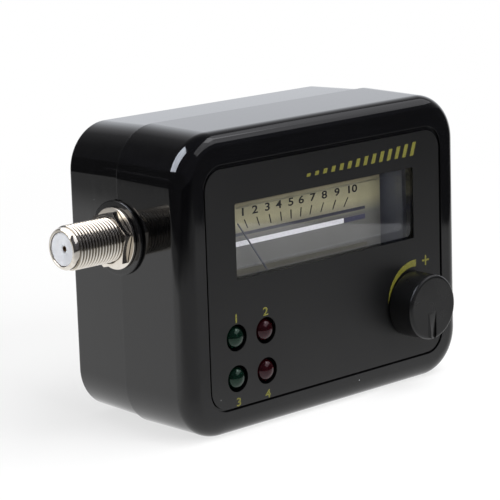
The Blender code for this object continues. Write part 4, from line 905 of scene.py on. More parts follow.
def front_label(material):
    """Thin printed sheet with crisp cut edges."""
    sheet = rounded_block("label_sheet_piece", LABEL_LOW, LABEL_HIGH, LABEL_RADIUS, RECESS_STEPS)
    soften(sheet, LABEL_EDGE, 2, lambda edge: lies_at(edge, "Y", LABEL_LOW.y))
    open_face(sheet, LABEL_LOW.y - OVERRUN, LABEL_HIGH.y + OVERRUN)
    shade(sheet)
    return hand_over(sheet, "case", "label_sheet", material, "front_label")


PRINT_THICKNESS = 0.03 * MM
PRINT_SINK = 0.01 * MM
TEXT_DEPTH = 0.02
TEXT_SWELL = 0.02
STROKE_ROUND = 0.12


def flat_text(name, text, height, centre_x, centre_z, y, widen):
    """Plain figures as a thin mesh that faces the front, fitted to a height."""
    deselect_all()
    bpy.ops.object.text_add(location=(0, 0, 0))
    piece = bpy.context.object
    piece.data.body = text
    piece.data.align_x = "CENTER"
    piece.data.extrude = TEXT_DEPTH
    piece.data.offset = TEXT_SWELL
    piece.data.resolution_u = 5
    bpy.ops.object.convert(target="MESH")
    piece = bpy.context.object
    points = [vert.co.copy() for vert in piece.data.vertices]
    low_x, high_x = min(p.x for p in points), max(p.x for p in points)
    low_y, high_y = min(p.y for p in points), max(p.y for p in points)
    size = height / (high_y - low_y)
    deep = PRINT_THICKNESS / (2 * TEXT_DEPTH)
    for vert in piece.data.vertices:
        x, up, out = vert.co
        vert.co = (
            centre_x + (x - (low_x + high_x) / 2) * size * widen,
            y - PRINT_THICKNESS / 2 - out * deep,
            centre_z + (up - (low_y + high_y) / 2) * size,
        )
    return settle(piece, name)


def flat_bar(name, start, end, width, y):
    """A printed stroke between two XZ points, with its corners broken."""
    (start_x, start_z), (end_x, end_z) = start, end
    if abs(end_z - start_z) > abs(end_x - start_x):
        low = (start_x - width / 2, y - PRINT_THICKNESS, start_z)
        high = (start_x + width / 2, y, end_z)
        shift = (end_x - start_x, 0.0, 0.0)
        axis, station = "Z", end_z
    else:
        low = (start_x, y - PRINT_THICKNESS, start_z - width / 2)
        high = (end_x, y, start_z + width / 2)
        shift = (0.0, 0.0, end_z - start_z)
        axis, station = "X", end_x
    piece = block(name, low, high)
    edit(piece)
    pick("VERT", lambda vert: abs(vert.co["XYZ".index(axis)] - station) < WELD)
    bpy.ops.transform.translate(value=shift)
    pick("EDGE", lambda edge: runs_along(edge, "Y"))
    bevel(width * STROKE_ROUND, 2)
    done()
    return piece


# Print on the sheet

ARC_CENTRE = (27.3 * MM, 19.3 * MM)
ARC_RADIUS = 8.9 * MM
ARC_START = math.radians(178.0)
ARC_END = math.radians(87.0)
ARC_WIDTH = 1.6 * MM
ARC_TIP_WIDTH = 0.12 * MM
ARC_TAPER = 0.65
ARC_STEPS = 36
LAMP_FIGURE_HEIGHT = 1.85 * MM
LAMP_FIGURE_WIDEN = 1.25
LAMP_FIGURES = {
    "lamp_green_upper": ("1", 4.15 * MM),
    "lamp_red_upper": ("2", 4.15 * MM),
    "lamp_green_lower": ("3", -5.05 * MM),
    "lamp_red_lower": ("4", -5.05 * MM),
}
LEVEL_BARS = 14
LEVEL_START_X = -5.6 * MM
LEVEL_END_X = 26.8 * MM
LEVEL_FOOT_Z = 51.9 * MM
LEVEL_LOW = 0.7 * MM
LEVEL_HIGH = 3.0 * MM
LEVEL_WIDTH = 1.15 * MM
LEVEL_LEAN = 0.35
PLUS_CENTRE = (30.9 * MM, 27.5 * MM)
PLUS_REACH = 1.15 * MM
PLUS_WIDTH = 0.45 * MM


def level_arc(y):
    """Tapered arc round the knob: a grid primitive bent round in even steps."""
    deselect_all()
    bpy.ops.mesh.primitive_grid_add(x_subdivisions=ARC_STEPS, y_subdivisions=1, size=2.0)
    piece = bpy.context.object
    edit(piece)
    bpy.ops.mesh.extrude_region_move(TRANSFORM_OT_translate={"value": (0, 0, 1.0)})
    done()
    for vert in piece.data.vertices:
        along, across, up = vert.co
        share = (along + 1) / 2
        turn = ARC_START + (ARC_END - ARC_START) * share
        width = ARC_TIP_WIDTH + (ARC_WIDTH - ARC_TIP_WIDTH) * share ** ARC_TAPER
        radius = ARC_RADIUS - (1 - across) / 2 * width
        vert.co = (
            ARC_CENTRE[0] + radius * math.cos(turn),
            y - PRINT_THICKNESS * (0.0 if up < 0.5 else 1.0),
            ARC_CENTRE[1] + radius * math.sin(turn),
        )
    settle(piece, "level_arc")
    edit(piece)
    face_outward()
    done()
    return piece


def label_print(material):
    """Olive print: the arc, a plus mark, figures by the lamps and a row of level bars."""
    y = LABEL_LOW.y + PRINT_SINK
    parts = [level_arc(y)]
    for index in range(LEVEL_BARS):
        share = index / (LEVEL_BARS - 1)
        x = LEVEL_START_X + (LEVEL_END_X - LEVEL_START_X) * share
        height = LEVEL_LOW + (LEVEL_HIGH - LEVEL_LOW) * share
        parts.append(flat_bar(
            f"level_bar_{index + 1}", (x, LEVEL_FOOT_Z),
            (x + height * LEVEL_LEAN, LEVEL_FOOT_Z + height), LEVEL_WIDTH, y,
        ))
    for lamp, (figure, rise) in LAMP_FIGURES.items():
        place = middle(lamp)
        parts.append(flat_text(
            f"figure_{figure}", figure, LAMP_FIGURE_HEIGHT, place.x, place.z + rise, y,
            LAMP_FIGURE_WIDEN,
        ))
    plus_x, plus_z = PLUS_CENTRE
    parts.append(flat_bar(
        "plus_across", (plus_x - PLUS_REACH, plus_z), (plus_x + PLUS_REACH, plus_z),
        PLUS_WIDTH, y,
    ))
    parts.append(flat_bar(
        "plus_up", (plus_x, plus_z - PLUS_REACH), (plus_x, plus_z + PLUS_REACH),
        PLUS_WIDTH, y - PRINT_SINK / 2,
    ))
    return hand_over(join("label_print", parts), "case", "label_sheet", material)


# Clear cover, printed plate and needle

COVER_FLANGE_DEPTH = 1.4 * MM
COVER_EDGE = 0.35 * MM
NECK_HALF = 12.0 * MM
HEAD_FOOT_Z = 25.4 * MM


def meter_cover(material):
    """Clear cover: a T-shaped flange behind the panel and a hollow raised window."""
    flange_y = COVER_HIGH.y - COVER_FLANGE_DEPTH
    cover = block(
        "meter_cover_moulding", (COVER_LOW.x, flange_y, HEAD_FOOT_Z), COVER_HIGH
    )
    neck = block(
        "neck", (-NECK_HALF, flange_y, COVER_LOW.z),
        (NECK_HALF, COVER_HIGH.y, HEAD_FOOT_Z + OVERRUN),
    )
    combine(cover, neck, "UNION")
    gap = Vector((FIT_GAP, 0.0, FIT_GAP))
    wall = gap + Vector((COVER_WALL, 0.0, COVER_WALL))
    raised_low, raised_high = WINDOW_LOW + gap, WINDOW_HIGH - gap
    raised_low.y, raised_high.y = COVER_LOW.y, COVER_HIGH.y - COVER_FLANGE_DEPTH / 2
    raised = rounded_block("raised", raised_low, raised_high, COVER_CORNER, COVER_STEPS)
    soften(raised, COVER_EDGE, 4, lambda edge: lies_at(edge, "Y", COVER_LOW.y))
    combine(cover, raised, "UNION")
    hollow_low, hollow_high = WINDOW_LOW + wall, WINDOW_HIGH - wall
    hollow_low.y, hollow_high.y = COVER_LOW.y + COVER_WALL, COVER_HIGH.y + OVERRUN
    hollow = rounded_block("hollow", hollow_low, hollow_high, COVER_CORNER, COVER_STEPS)
    soften(hollow, COVER_EDGE, 3, lambda edge: lies_at(edge, "Y", hollow_low.y))
    combine(cover, hollow, "DIFFERENCE")
    shade(cover)
    return hand_over(cover, "case", "clear_plastic", material, "meter_cover")


SCALE_MARKS = (
    # foot x, head x, figure x
    (-14.7 * MM, -15.65 * MM, -16.0 * MM),
    (-11.2 * MM, -11.95 * MM, -12.4 * MM),
    (-7.75 * MM, -8.24 * MM, -8.7 * MM),
    (-4.6 * MM, -4.79 * MM, -5.3 * MM),
    (-1.64 * MM, -1.65 * MM, -1.6 * MM),
    (1.22 * MM, 1.49 * MM, 1.6 * MM),
    (4.14 * MM, 4.78 * MM, 5.2 * MM),
    (7.53 * MM, 8.45 * MM, 8.8 * MM),
    (11.3 * MM, 12.3 * MM, 12.8 * MM),
    (14.86 * MM, 16.2 * MM, 17.8 * MM),
)
MARK_FOOT_Z = 41.03 * MM
MARK_HEAD_Z = 43.05 * MM
MARK_WIDTH = 0.3 * MM
FIGURE_Z = 44.75 * MM
FIGURE_HEIGHT = 1.75 * MM
FIGURE_WIDEN = 1.5
SCALE_LINE_WIDTH = 0.7 * MM
SCALE_HALF = 21.6 * MM
LINE_OVERHANG = 4.0 * MM
BAND_OVERHANG = MARK_HEAD_Z / 10
BAND_Z = 37.97 * MM
BAND_WIDTH = 1.1 * MM
BAND_SPLIT_X = 14.7 * MM
BAND_GAP = 0.15 * MM


def scale_prints(materials):
    """The plate's marks, figures, base line and the white and blue level band."""
    y = PLATE_LOW.y + PRINT_SINK
    dark = []
    for index, (foot_x, head_x, figure_x) in enumerate(SCALE_MARKS):
        dark.append(flat_bar(
            f"mark_{index + 1}", (foot_x, MARK_FOOT_Z), (head_x, MARK_HEAD_Z), MARK_WIDTH, y
        ))
        dark.append(flat_text(
            f"scale_figure_{index + 1}", str(index + 1), FIGURE_HEIGHT, figure_x, FIGURE_Z, y,
            FIGURE_WIDEN,
        ))
    hand_over(join("scale_marks", dark), "case", "scale_print", materials["plate_black"])
    for name, start_x, end_x, z, width, ink_name in (
        ("scale_line", -SCALE_HALF - LINE_OVERHANG, SCALE_HALF, SCALE_LINE_Z, SCALE_LINE_WIDTH,
         "plate_line"),
        ("white_band", -SCALE_HALF - BAND_OVERHANG, BAND_SPLIT_X, BAND_Z, BAND_WIDTH,
         "plate_white"),
        ("blue_band", BAND_SPLIT_X + BAND_GAP, SCALE_HALF, BAND_Z, BAND_WIDTH, "plate_blue"),
    ):
        stroke = flat_bar(name, (start_x, z), (end_x, z), width, y)
        hand_over(stroke, "case", "scale_print", materials[ink_name])


LIP_LEFT_X = -27.0 * MM
LIP_RIGHT_X = 21.8 * MM
LIP_FOOT_Z = 30.2 * MM
LIP_LEFT_Z = 32.5 * MM
LIP_RIGHT_Z = 32.1 * MM
LIP_THICKNESS = 0.3 * MM


def plate_lip(material):
    """Moulded lip along the plate's foot: a bar whose top edge falls to the right."""
    lip = block(
        "plate_lip", (LIP_LEFT_X, PLATE_LOW.y - LIP_THICKNESS, LIP_FOOT_Z),
        (LIP_RIGHT_X, PLATE_LOW.y + PRINT_SINK, LIP_LEFT_Z),
    )
    edit(lip)
    pick("VERT", lambda vert: vert.co.x > 0.0 and vert.co.z > LIP_LEFT_Z - FIT_GAP)
    bpy.ops.transform.translate(value=(0.0, 0.0, LIP_RIGHT_Z - LIP_LEFT_Z))
    round_at(PLATE_LOW.y - LIP_THICKNESS, LIP_THICKNESS / 3, 3)
    done()
    shade(lip)
    hand_over(lip, "case", "frame_plastic", material)


NEEDLE_REST = math.radians(36.0)
NEEDLE_THICKNESS = 0.25 * MM
NEEDLE_ROUND = 0.3
NEEDLE_ROOT = 0.62 * MM
NEEDLE_TIP = 0.26 * MM
NEEDLE_TAIL = 6.0 * MM
NEEDLE_TAIL_WIDTH = 1.8 * MM
NEEDLE_HUB = 1.6 * MM
SPINDLE_HOLE = 0.62 * MM


def needle(material):
    """Tapered needle with a round hub and a balance tail, leaning left as it rests."""
    low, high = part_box("needle")
    pivot = middle("core_magnet")
    pivot.y = (low.y + high.y) / 2
    length = (high.z - pivot.z) / math.cos(NEEDLE_REST) - NEEDLE_TIP / 4
    half = NEEDLE_THICKNESS / 2
    blade = block(
        "needle_blade", (-NEEDLE_ROOT / 2, -half, 0.0), (NEEDLE_ROOT / 2, half, length)
    )
    edit(blade)
    pick("VERT", lambda vert: vert.co.z > length / 2)
    bpy.ops.transform.resize(
        value=(NEEDLE_TIP / NEEDLE_ROOT, 1.0, 1.0), center_override=(0, 0, length)
    )
    pick("EDGE", lambda edge: lies_at(edge, "Y", -half) and not runs_along(edge, "X"))
    bevel(NEEDLE_THICKNESS * NEEDLE_ROUND, 3)
    done()
    tail = block(
        "needle_tail", (-NEEDLE_TAIL_WIDTH / 2, -half, -NEEDLE_TAIL),
        (NEEDLE_TAIL_WIDTH / 2, half, 0.0),
    )
    soften(tail, EDGE_BREAK * 3, 4, lambda edge: (
        runs_along(edge, "Y") and edge.verts[0].co.z < -OVERRUN
    ))
    combine(blade, tail, "UNION")
    hub = rod("needle_hub", (0, 0, 0), "Y", -half, half, NEEDLE_HUB, POST_SIDES)
    combine(blade, hub, "UNION")
    bore = rod("bore", (0, 0, 0), "Y", -OVERRUN, OVERRUN, SPINDLE_HOLE, BORE_SIDES)
    combine(blade, bore, "DIFFERENCE")
    blade.data.transform(Matrix.Translation(pivot) @ Matrix.Rotation(-NEEDLE_REST, 4, "Y"))
    shade(blade)
    return hand_over(blade, "movement", "needle_paint", material, "needle")


# Knob and lamps

KNOB_EDGE = 0.8 * MM
# Start and end of the round in degrees, and its steps
KNOB_ARC = (180, 90, 16)
KNOB_WALL = 1.2 * MM
KNOB_HUB_RADIUS = 4.4 * MM
KNOB_BORE = 3.15 * MM
KNOB_WEB = 1.8 * MM
KNOB_FACE = 1.2 * MM
KNOB_HUB_SETBACK = 0.5 * MM
POINTER_RISE = 0.35 * MM
POINTER_LEFT = 1.13 * MM
POINTER_RIGHT = 0.85 * MM
POINTER_START = 1.3 * MM
POINTER_END = 6.95 * MM
POINTER_SINK = 0.1 * MM
POINTER_FOOT = 0.96 * MM
POINTER_LIFT = 0.6 * MM
POINTER_REACH = 2.4 * MM
POINTER_LEAN = 0.12 * MM
GROOVE_DEPTH = 0.6 * MM
GROOVE_SHALLOW = 0.03 * MM
SLOPE_CUTS = 5
KNOB_SHARP = 8.0


def knob(material):
    """Push-on knob: a satin skirt, and a sloped pointer with a groove along its left side."""
    centre = middle("knob")
    face_y = KNOB_LOW.y + POINTER_RISE
    back_y = KNOB_HIGH.y
    radius = KNOB_HIGH.x - centre.x
    centre.z = KNOB_HIGH.z - radius
    profile = [(face_y, 0.0)]
    profile += arc_profile(face_y + KNOB_EDGE, radius - KNOB_EDGE, KNOB_EDGE, *KNOB_ARC)
    profile += [
        (back_y - EDGE_BREAK, radius), (back_y, radius - EDGE_BREAK), (back_y, radius - KNOB_WALL),
        (face_y + KNOB_WEB, radius - KNOB_WALL), (face_y + KNOB_WEB, KNOB_HUB_RADIUS),
        (back_y - KNOB_HUB_SETBACK, KNOB_HUB_RADIUS), (back_y - KNOB_HUB_SETBACK, KNOB_BORE),
        (face_y + KNOB_FACE, KNOB_BORE), (face_y + KNOB_FACE, 0.0),
    ]
    body = turned("knob_moulding", profile, centre, "Y", FINE_SIDES)
    pointer = block(
        "pointer",
        (centre.x - POINTER_LEFT, KNOB_LOW.y, centre.z - POINTER_END),
        (centre.x + POINTER_RIGHT - FIT_GAP, face_y + POINTER_SINK, centre.z - POINTER_START),
    )
    edit(pointer)
    pick("VERT", lambda vert: vert.co.y > face_y and vert.co.x < centre.x)
    bpy.ops.transform.translate(value=(-POINTER_FOOT, 0.0, 0.0))
    pick("VERT", lambda vert: (
        vert.co.x < centre.x - POINTER_LEFT - FIT_GAP and vert.co.z < centre.z - POINTER_END / 2
    ))
    bpy.ops.transform.translate(value=(0.0, 0.0, POINTER_LIFT))
    done()
    combine(body, pointer, "UNION")
    crest_fall = (GROOVE_DEPTH + POINTER_RISE) * (
        (POINTER_REACH + POINTER_RIGHT) / (POINTER_LEFT + POINTER_RIGHT)
    )
    slope = block(
        "slope",
        (centre.x - POINTER_REACH, KNOB_LOW.y - OVERRUN, centre.z - POINTER_END - FIT_GAP),
        (centre.x + POINTER_RIGHT, face_y + GROOVE_DEPTH, centre.z - POINTER_START + FIT_GAP),
    )
    edit(slope)
    for left, high, fall in (
        (True, False, crest_fall),
        (True, True, GROOVE_DEPTH + POINTER_LEAN),
        (False, True, GROOVE_DEPTH - GROOVE_SHALLOW),
    ):
        pick("VERT", lambda vert: (
            vert.co.y > face_y
            and (vert.co.x < centre.x) == left
            and (vert.co.z > centre.z - POINTER_END / 2) == high
        ))
        bpy.ops.transform.translate(value=(0.0, -fall, 0.0))
    bpy.ops.mesh.select_all(action="SELECT")
    bpy.ops.mesh.subdivide(number_cuts=SLOPE_CUTS)
    done()
    combine(body, slope, "DIFFERENCE")
    shade(body, KNOB_SHARP)
    return hand_over(body, "control", "knob_plastic", material, "knob")


LAMP_RADIUS = 2.5 * MM
LAMP_FLANGE_RADIUS = 2.9 * MM
LAMP_FLANGE_HEIGHT = 1.0 * MM
LAMP_HEIGHT = 8.6 * MM
LAMP_SETBACK = 0.4 * MM
LEAD_RADIUS = 0.27 * MM
LEAD_PITCH = 2.54 * MM
# Start and end of the dome in degrees, and its steps
LAMP_DOME = (174, 90, 14)


def lamps(materials):
    """Four round lamps: copies of a pattern turned with its dome, foot and leads."""
    first = middle(LAMPS[0])
    low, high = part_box(LAMPS[0])
    tip_y, foot_y = low.y + LAMP_SETBACK, low.y + LAMP_HEIGHT
    profile = [(tip_y, 0.0)]
    profile += arc_profile(tip_y + LAMP_RADIUS, 0.0, LAMP_RADIUS, *LAMP_DOME)
    profile += [
        (foot_y - LAMP_FLANGE_HEIGHT, LAMP_RADIUS),
        (foot_y - LAMP_FLANGE_HEIGHT, LAMP_FLANGE_RADIUS),
        (foot_y, LAMP_FLANGE_RADIUS), (foot_y, 0.0),
    ]
    pattern = turned("lamp_pattern", profile, first, "Y", MIDDLE_SIDES)
    for side in (-1, 1):
        centre = first + Vector((side * LEAD_PITCH / 2, 0.0, 0.0))
        lead = rod("lead", centre, "Y", foot_y - FIT_GAP, high.y, LEAD_RADIUS, WIRE_SIDES)
        combine(pattern, lead, "UNION")
    for lamp in LAMPS:
        piece = copy_of(pattern, f"{lamp}_body", middle(lamp) - first)
        shade(piece)
        slot = "green_lamp" if "green" in lamp else "red_lamp"
        hand_over(piece, "case", slot, materials[slot], lamp)
    bpy.data.objects.remove(pattern)


# Ports

PORT_TIP = 15.4 * MM
THREAD_END = 14.0 * MM
THREAD_PITCH = 25.4 * MM / 32
THREAD_CREST = 4.78 * MM
THREAD_ROOT = 4.27 * MM
THREAD_CREST_FLAT = 0.13 * MM
THREAD_CREST_ROUND = 0.03 * MM
THREAD_ROOT_FLAT = 0.08 * MM
THREAD_STEPS = 72
CREST_CUTS = 3
PORT_NECK_RADIUS = 4.45 * MM
PORT_TIP_RADIUS = 4.1 * MM
HOLE_MOUTH_RADIUS = 0.72 * MM
PORT_BORE_RADIUS = 3.6 * MM
PORT_FLANGE_RADIUS = 5.75 * MM
PORT_FLANGE_THICKNESS = 1.3 * MM
PORT_TAIL_RADIUS = 4.0 * MM
PORT_TAIL_LENGTH = 5.0 * MM
CORE_RADIUS = 3.5 * MM
CONTACT_HOLE_RADIUS = 0.55 * MM
SOCKET_RADIUS = 0.53 * MM
SOCKET_BORE = 0.40 * MM
SOCKET_DEPTH = 1.3 * MM
STACK_BORE = THREAD_CREST + SEAT_GAP
THREAD_SINK = 0.08 * MM
TIP_BREAK = 0.08 * MM
INSULATOR_LIP = 0.12 * MM
MOUTH_DEPTH = 5.5 * INSULATOR_LIP
# How far each ring of the insulator's dished face lies behind its rim, and its radius
FACE_RINGS = (
    (INSULATOR_LIP, CORE_RADIUS), (0.0, CORE_RADIUS - INSULATOR_LIP),
    (INSULATOR_LIP, CORE_RADIUS * 0.75), (2 * INSULATOR_LIP, CORE_RADIUS / 2),
    (4 * INSULATOR_LIP, HOLE_MOUTH_RADIUS + INSULATOR_LIP), (MOUTH_DEPTH, HOLE_MOUTH_RADIUS),
)
METAL_SHARP = 30.0
# How far each ring of the rounded tip lies behind the rim, and its radius
TIP_RINGS = (
    (0.55 * MM, PORT_NECK_RADIUS), (0.3 * MM, PORT_NECK_RADIUS - 0.12 * MM),
    (0.1 * MM, PORT_TIP_RADIUS + 0.06 * MM), (0.0, PORT_TIP_RADIUS - TIP_BREAK),
    (0.0, PORT_BORE_RADIUS + TIP_BREAK), (TIP_BREAK, PORT_BORE_RADIUS),
)
RING_ROUND = 0.2 * MM
WASHER_ROUND = 0.12 * MM
NUT_TURN = math.radians(46.5)
NUT_ACROSS_FLATS = 11.0 * MM
NUT_CHAMFER = 0.4 * MM
NUT_EDGE = 0.07 * MM


def half_turned(piece, name, centre):
    """A copy turned half round the upright axis through a centre, so a thread keeps its hand."""
    twin = copy_of(piece, name, (0, 0, 0))
    there, back = Matrix.Translation(centre), Matrix.Translation(-centre)
    twin.data.transform(there @ Matrix.Rotation(math.pi, 4, "Z") @ back)
    return twin


def thread_ridge(start, end, centre):
    """One helical ridge: a trapezoid swept by the Screw modifier, with its ends filled."""
    deselect_all()
    bpy.ops.mesh.primitive_plane_add(size=MM, location=(0, 0, 0))
    ridge = settle(bpy.context.object, "thread_ridge")
    edit(ridge)
    bpy.ops.mesh.delete(type="ONLY_FACE")
    done()
    foot_half = (THREAD_PITCH - THREAD_ROOT_FLAT) / 2
    corners = (
        (-foot_half, THREAD_ROOT - THREAD_SINK), (foot_half, THREAD_ROOT - THREAD_SINK),
        (-THREAD_CREST_FLAT / 2, THREAD_CREST), (THREAD_CREST_FLAT / 2, THREAD_CREST),
    )
    for vert, (station, radius) in zip(ridge.data.vertices, corners):
        vert.co = (start + station, 0.0, radius)
    edit(ridge)
    pick("EDGE", lambda edge: all(vert.co.z > THREAD_CREST - EDGE_BREAK for vert in edge.verts))
    bpy.ops.mesh.subdivide(number_cuts=CREST_CUTS)
    done()
    for vert in ridge.data.vertices:
        if vert.co.z > THREAD_CREST - EDGE_BREAK:
            offset = 2.0 * (vert.co.x - start) / THREAD_CREST_FLAT
            vert.co.z = THREAD_CREST - THREAD_CREST_ROUND * offset ** 2
    ridge_sides = len(ridge.data.vertices)
    turns = math.ceil((end - start) / THREAD_PITCH)
    use_modifier(
        ridge, "SCREW", axis="X", angle=2.0 * math.pi, screw_offset=THREAD_PITCH,
        iterations=turns, steps=THREAD_STEPS, render_steps=THREAD_STEPS,
    )
    ridge.data.transform(Matrix.Translation((0.0, centre.y, centre.z)))
    edit(ridge)
    bpy.ops.mesh.select_all(action="SELECT")
    bpy.ops.mesh.fill_holes(sides=ridge_sides)
    face_outward()
    done()
    return ridge


def port_body(material):
    """Threaded barrel with its flange, tail and plain tip; the other is the same, turned round."""
    centre = middle("port_body_right")
    centre.x = 0.0
    wall = HALF_WIDTH
    flange_out = wall - INSET - FIT_GAP
    flange_in = flange_out - PORT_FLANGE_THICKNESS
    tail, tip, thread_end = flange_in - PORT_TAIL_LENGTH, wall + PORT_TIP, wall + THREAD_END
    slope = THREAD_CREST - THREAD_ROOT
    ridge = thread_ridge(flange_out, thread_end + THREAD_PITCH, centre)
    envelope = turned("envelope", [
        (flange_out + FIT_GAP, 0.0), (flange_out + FIT_GAP, THREAD_CREST + slope),
        (thread_end - slope, THREAD_CREST + slope), (thread_end, THREAD_ROOT + slope / 2),
        (thread_end, 0.0),
    ], centre, "X", THREAD_STEPS)
    combine(ridge, envelope, "INTERSECT")
    body = turned("port_barrel_right", [
        (tail, PORT_BORE_RADIUS), (tail, PORT_TAIL_RADIUS), (flange_in, PORT_TAIL_RADIUS),
        (flange_in, PORT_FLANGE_RADIUS), (flange_out, PORT_FLANGE_RADIUS),
        (flange_out, THREAD_ROOT), (thread_end, THREAD_ROOT),
        (thread_end + FIT_GAP / 2, PORT_NECK_RADIUS),
        *((tip - behind, radius) for behind, radius in TIP_RINGS),
    ], centre, "X", THREAD_STEPS, closed=True)
    combine(body, ridge, "UNION")
    turned_twin = half_turned(body, "port_barrel_left", centre)
    for side, piece in (("right", body), ("left", turned_twin)):
        shade(piece, METAL_SHARP)
        hand_over(piece, "case", "nickel", material, f"port_body_{side}")


def stack_ring(name, node_box, edge_round, steps, centre):
    """A flat ring that fills its CAD node's box, with its outer edge rounded."""
    low, high = node_box
    radius = (high.z - low.z) / 2
    return turned(
        name,
        [(low.x, STACK_BORE), (low.x, radius)]
        + arc_profile(high.x - edge_round, radius - edge_round, edge_round, 90, 0, steps)
        + [(high.x, STACK_BORE)], centre, "X", ROUND_SIDES, closed=True,
    )


def port_stack(materials):
    """Insulator, ring, washer and nut on each port; each left one mirrors the right one."""
    centre = middle("port_body_right")
    centre.x = 0.0
    low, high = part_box("port_insulator_right")
    mouth = high.x - MOUTH_DEPTH
    insulator = turned("insulator", [
        (low.x, CONTACT_HOLE_RADIUS), (low.x, CORE_RADIUS),
        *((high.x - behind, radius) for behind, radius in FACE_RINGS),
    ], centre, "X", MIDDLE_SIDES, closed=True)
    socket = turned("contact_mouth", [
        (mouth - SOCKET_DEPTH, 0.0), (mouth - SOCKET_DEPTH, SOCKET_RADIUS),
        (mouth, SOCKET_RADIUS), (mouth, SOCKET_BORE), (mouth - OVERRUN, SOCKET_BORE),
        (mouth - OVERRUN, 0.0),
    ], centre, "X", HOLE_SIDES)
    ring = stack_ring("gasket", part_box("port_ring_right"), RING_ROUND, 5, centre)
    washer = stack_ring("plate_washer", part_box("port_washer_right"), WASHER_ROUND, 4, centre)
    finishes = (
        (insulator, "insulator", "white_insulator"), (ring, "ring", "black_ring"),
        (washer, "washer", "nickel"), (nut(centre), "nut", "nickel"),
    )
    for side, one in (("right", socket), ("left", mirrored(socket, "contact_mouth_left"))):
        one.name = one.data.name = f"contact_mouth_{side}"
        shade(one, METAL_SHARP)
        hand_over(one, "case", "spring_bronze", materials["socket"])
    for piece, word, slot in finishes:
        twin = mirrored(piece, f"port_{word}_left_piece")
        piece.name = piece.data.name = f"port_{word}_right_piece"
        for side, one in (("right", piece), ("left", twin)):
            shade(one, METAL_SHARP)
            hand_over(one, "case", slot, materials[slot], f"port_{word}_{side}")


def nut(centre):
    """Thin hexagon nut with a turned crown, a bore and slightly broken edges."""
    low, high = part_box("port_nut_right")
    corner = NUT_ACROSS_FLATS / 2 / math.cos(math.pi / 6)
    piece = rod("nut", centre, "X", low.x, high.x, corner, 6)
    first = next(vert.co for vert in piece.data.vertices)
    turn = math.atan2(first.z - centre.z, first.y - centre.y)
    there, back = Matrix.Translation(centre), Matrix.Translation(-centre)
    piece.data.transform(there @ Matrix.Rotation(NUT_TURN - turn, 4, "X") @ back)
    soften(piece, NUT_EDGE * 1.5, 2, lambda edge: runs_along(edge, "X"))
    flat = NUT_ACROSS_FLATS / 2
    crown = turned("crown", [
        (low.x - OVERRUN, 0.0), (low.x - OVERRUN, corner + OVERRUN),
        (high.x - NUT_CHAMFER, corner + FIT_GAP / 3), (high.x, flat - NUT_EDGE), (high.x, 0.0),
    ], centre, "X", ROUND_SIDES)
    combine(piece, crown, "INTERSECT")
    bore = turned("bore", [
        (low.x - OVERRUN, 0.0), (low.x - OVERRUN, STACK_BORE), (high.x - 2 * NUT_EDGE, STACK_BORE),
        (high.x + NUT_EDGE, STACK_BORE + 3 * NUT_EDGE), (high.x + NUT_EDGE, 0.0),
    ], centre, "X", MIDDLE_SIDES)
    combine(piece, bore, "DIFFERENCE")
    return piece


# Screws in the back

SCREW_HEAD_RADIUS = 2.6 * MM
SCREW_HEAD = 1.8 * MM
SCREW_RADIUS = 1.25 * MM
RECESS_ARM = 1.45 * MM
RECESS_WIDTH = 0.55 * MM
RECESS_DEEP = 1.1 * MM
RECESS_TAPER = 0.45
# Share of the head's height, and share of its radius there
PAN_CURVE = ((0.5, 0.97), (0.75, 0.86), (0.92, 0.62))


def case_screws(material):
    """Pan-head screws with a cross recess: one is made and copied into each well."""
    first = middle("case_screw_1")
    low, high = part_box("case_screw_1")
    top, seat, end = high.y, high.y - SCREW_HEAD, low.y
    screw = turned("screw_pattern", [
        (end, 0.0), (end + SCREW_RADIUS, SCREW_RADIUS), (seat, SCREW_RADIUS),
        (seat, SCREW_HEAD_RADIUS - EDGE_BREAK), (seat + EDGE_BREAK, SCREW_HEAD_RADIUS),
        *((seat + SCREW_HEAD * up, SCREW_HEAD_RADIUS * out) for up, out in PAN_CURVE),
        (top, 0.0),
    ], first, "Y", MIDDLE_SIDES)
    for long_x in (True, False):
        reach = Vector((RECESS_ARM, 0, RECESS_WIDTH) if long_x else (RECESS_WIDTH, 0, RECESS_ARM))
        base = Vector((first.x, 0.0, first.z))
        arm = block(
            "arm", base - reach + Vector((0, top - RECESS_DEEP, 0)),
            base + reach + Vector((0, top + OVERRUN, 0)),
        )
        edit(arm)
        pick("FACE", lambda face: lies_at(face, "Y", top - RECESS_DEEP))
        bpy.ops.transform.resize(value=(RECESS_TAPER, 1.0, RECESS_TAPER))
        done()
        combine(screw, arm, "DIFFERENCE")
    for index in range(CASE_SCREWS):
        name = f"case_screw_{index + 1}"
        piece = copy_of(screw, f"{name}_piece", middle(name) - first)
        shade(piece, METAL_SHARP)
        hand_over(piece, "case", "steel", material, name)
    bpy.data.objects.remove(screw)


# Camera, floor and lights

CAMERA_PLACE = Vector((-334.99, -347.04, 134.99)) * MM
CAMERA_AZIMUTH = math.radians(43.158)
CAMERA_ELEVATION = math.radians(11.905)
CAMERA_ROLL = math.radians(-1.865)
CAMERA_LENS = 160.728
CAMERA_SENSOR = 36.0
CAMERA_CLIP = (0.01, 20.0)
TABLE_LEFT_X = -0.247
TABLE_FRONT_Y = -0.9
TABLE_REACH = 3.6
TABLE_WHITE = (0.84, 0.84, 0.84)
TABLE_ROUGH = 0.7
TABLE_FADE_Y = (-0.28, 0.0)
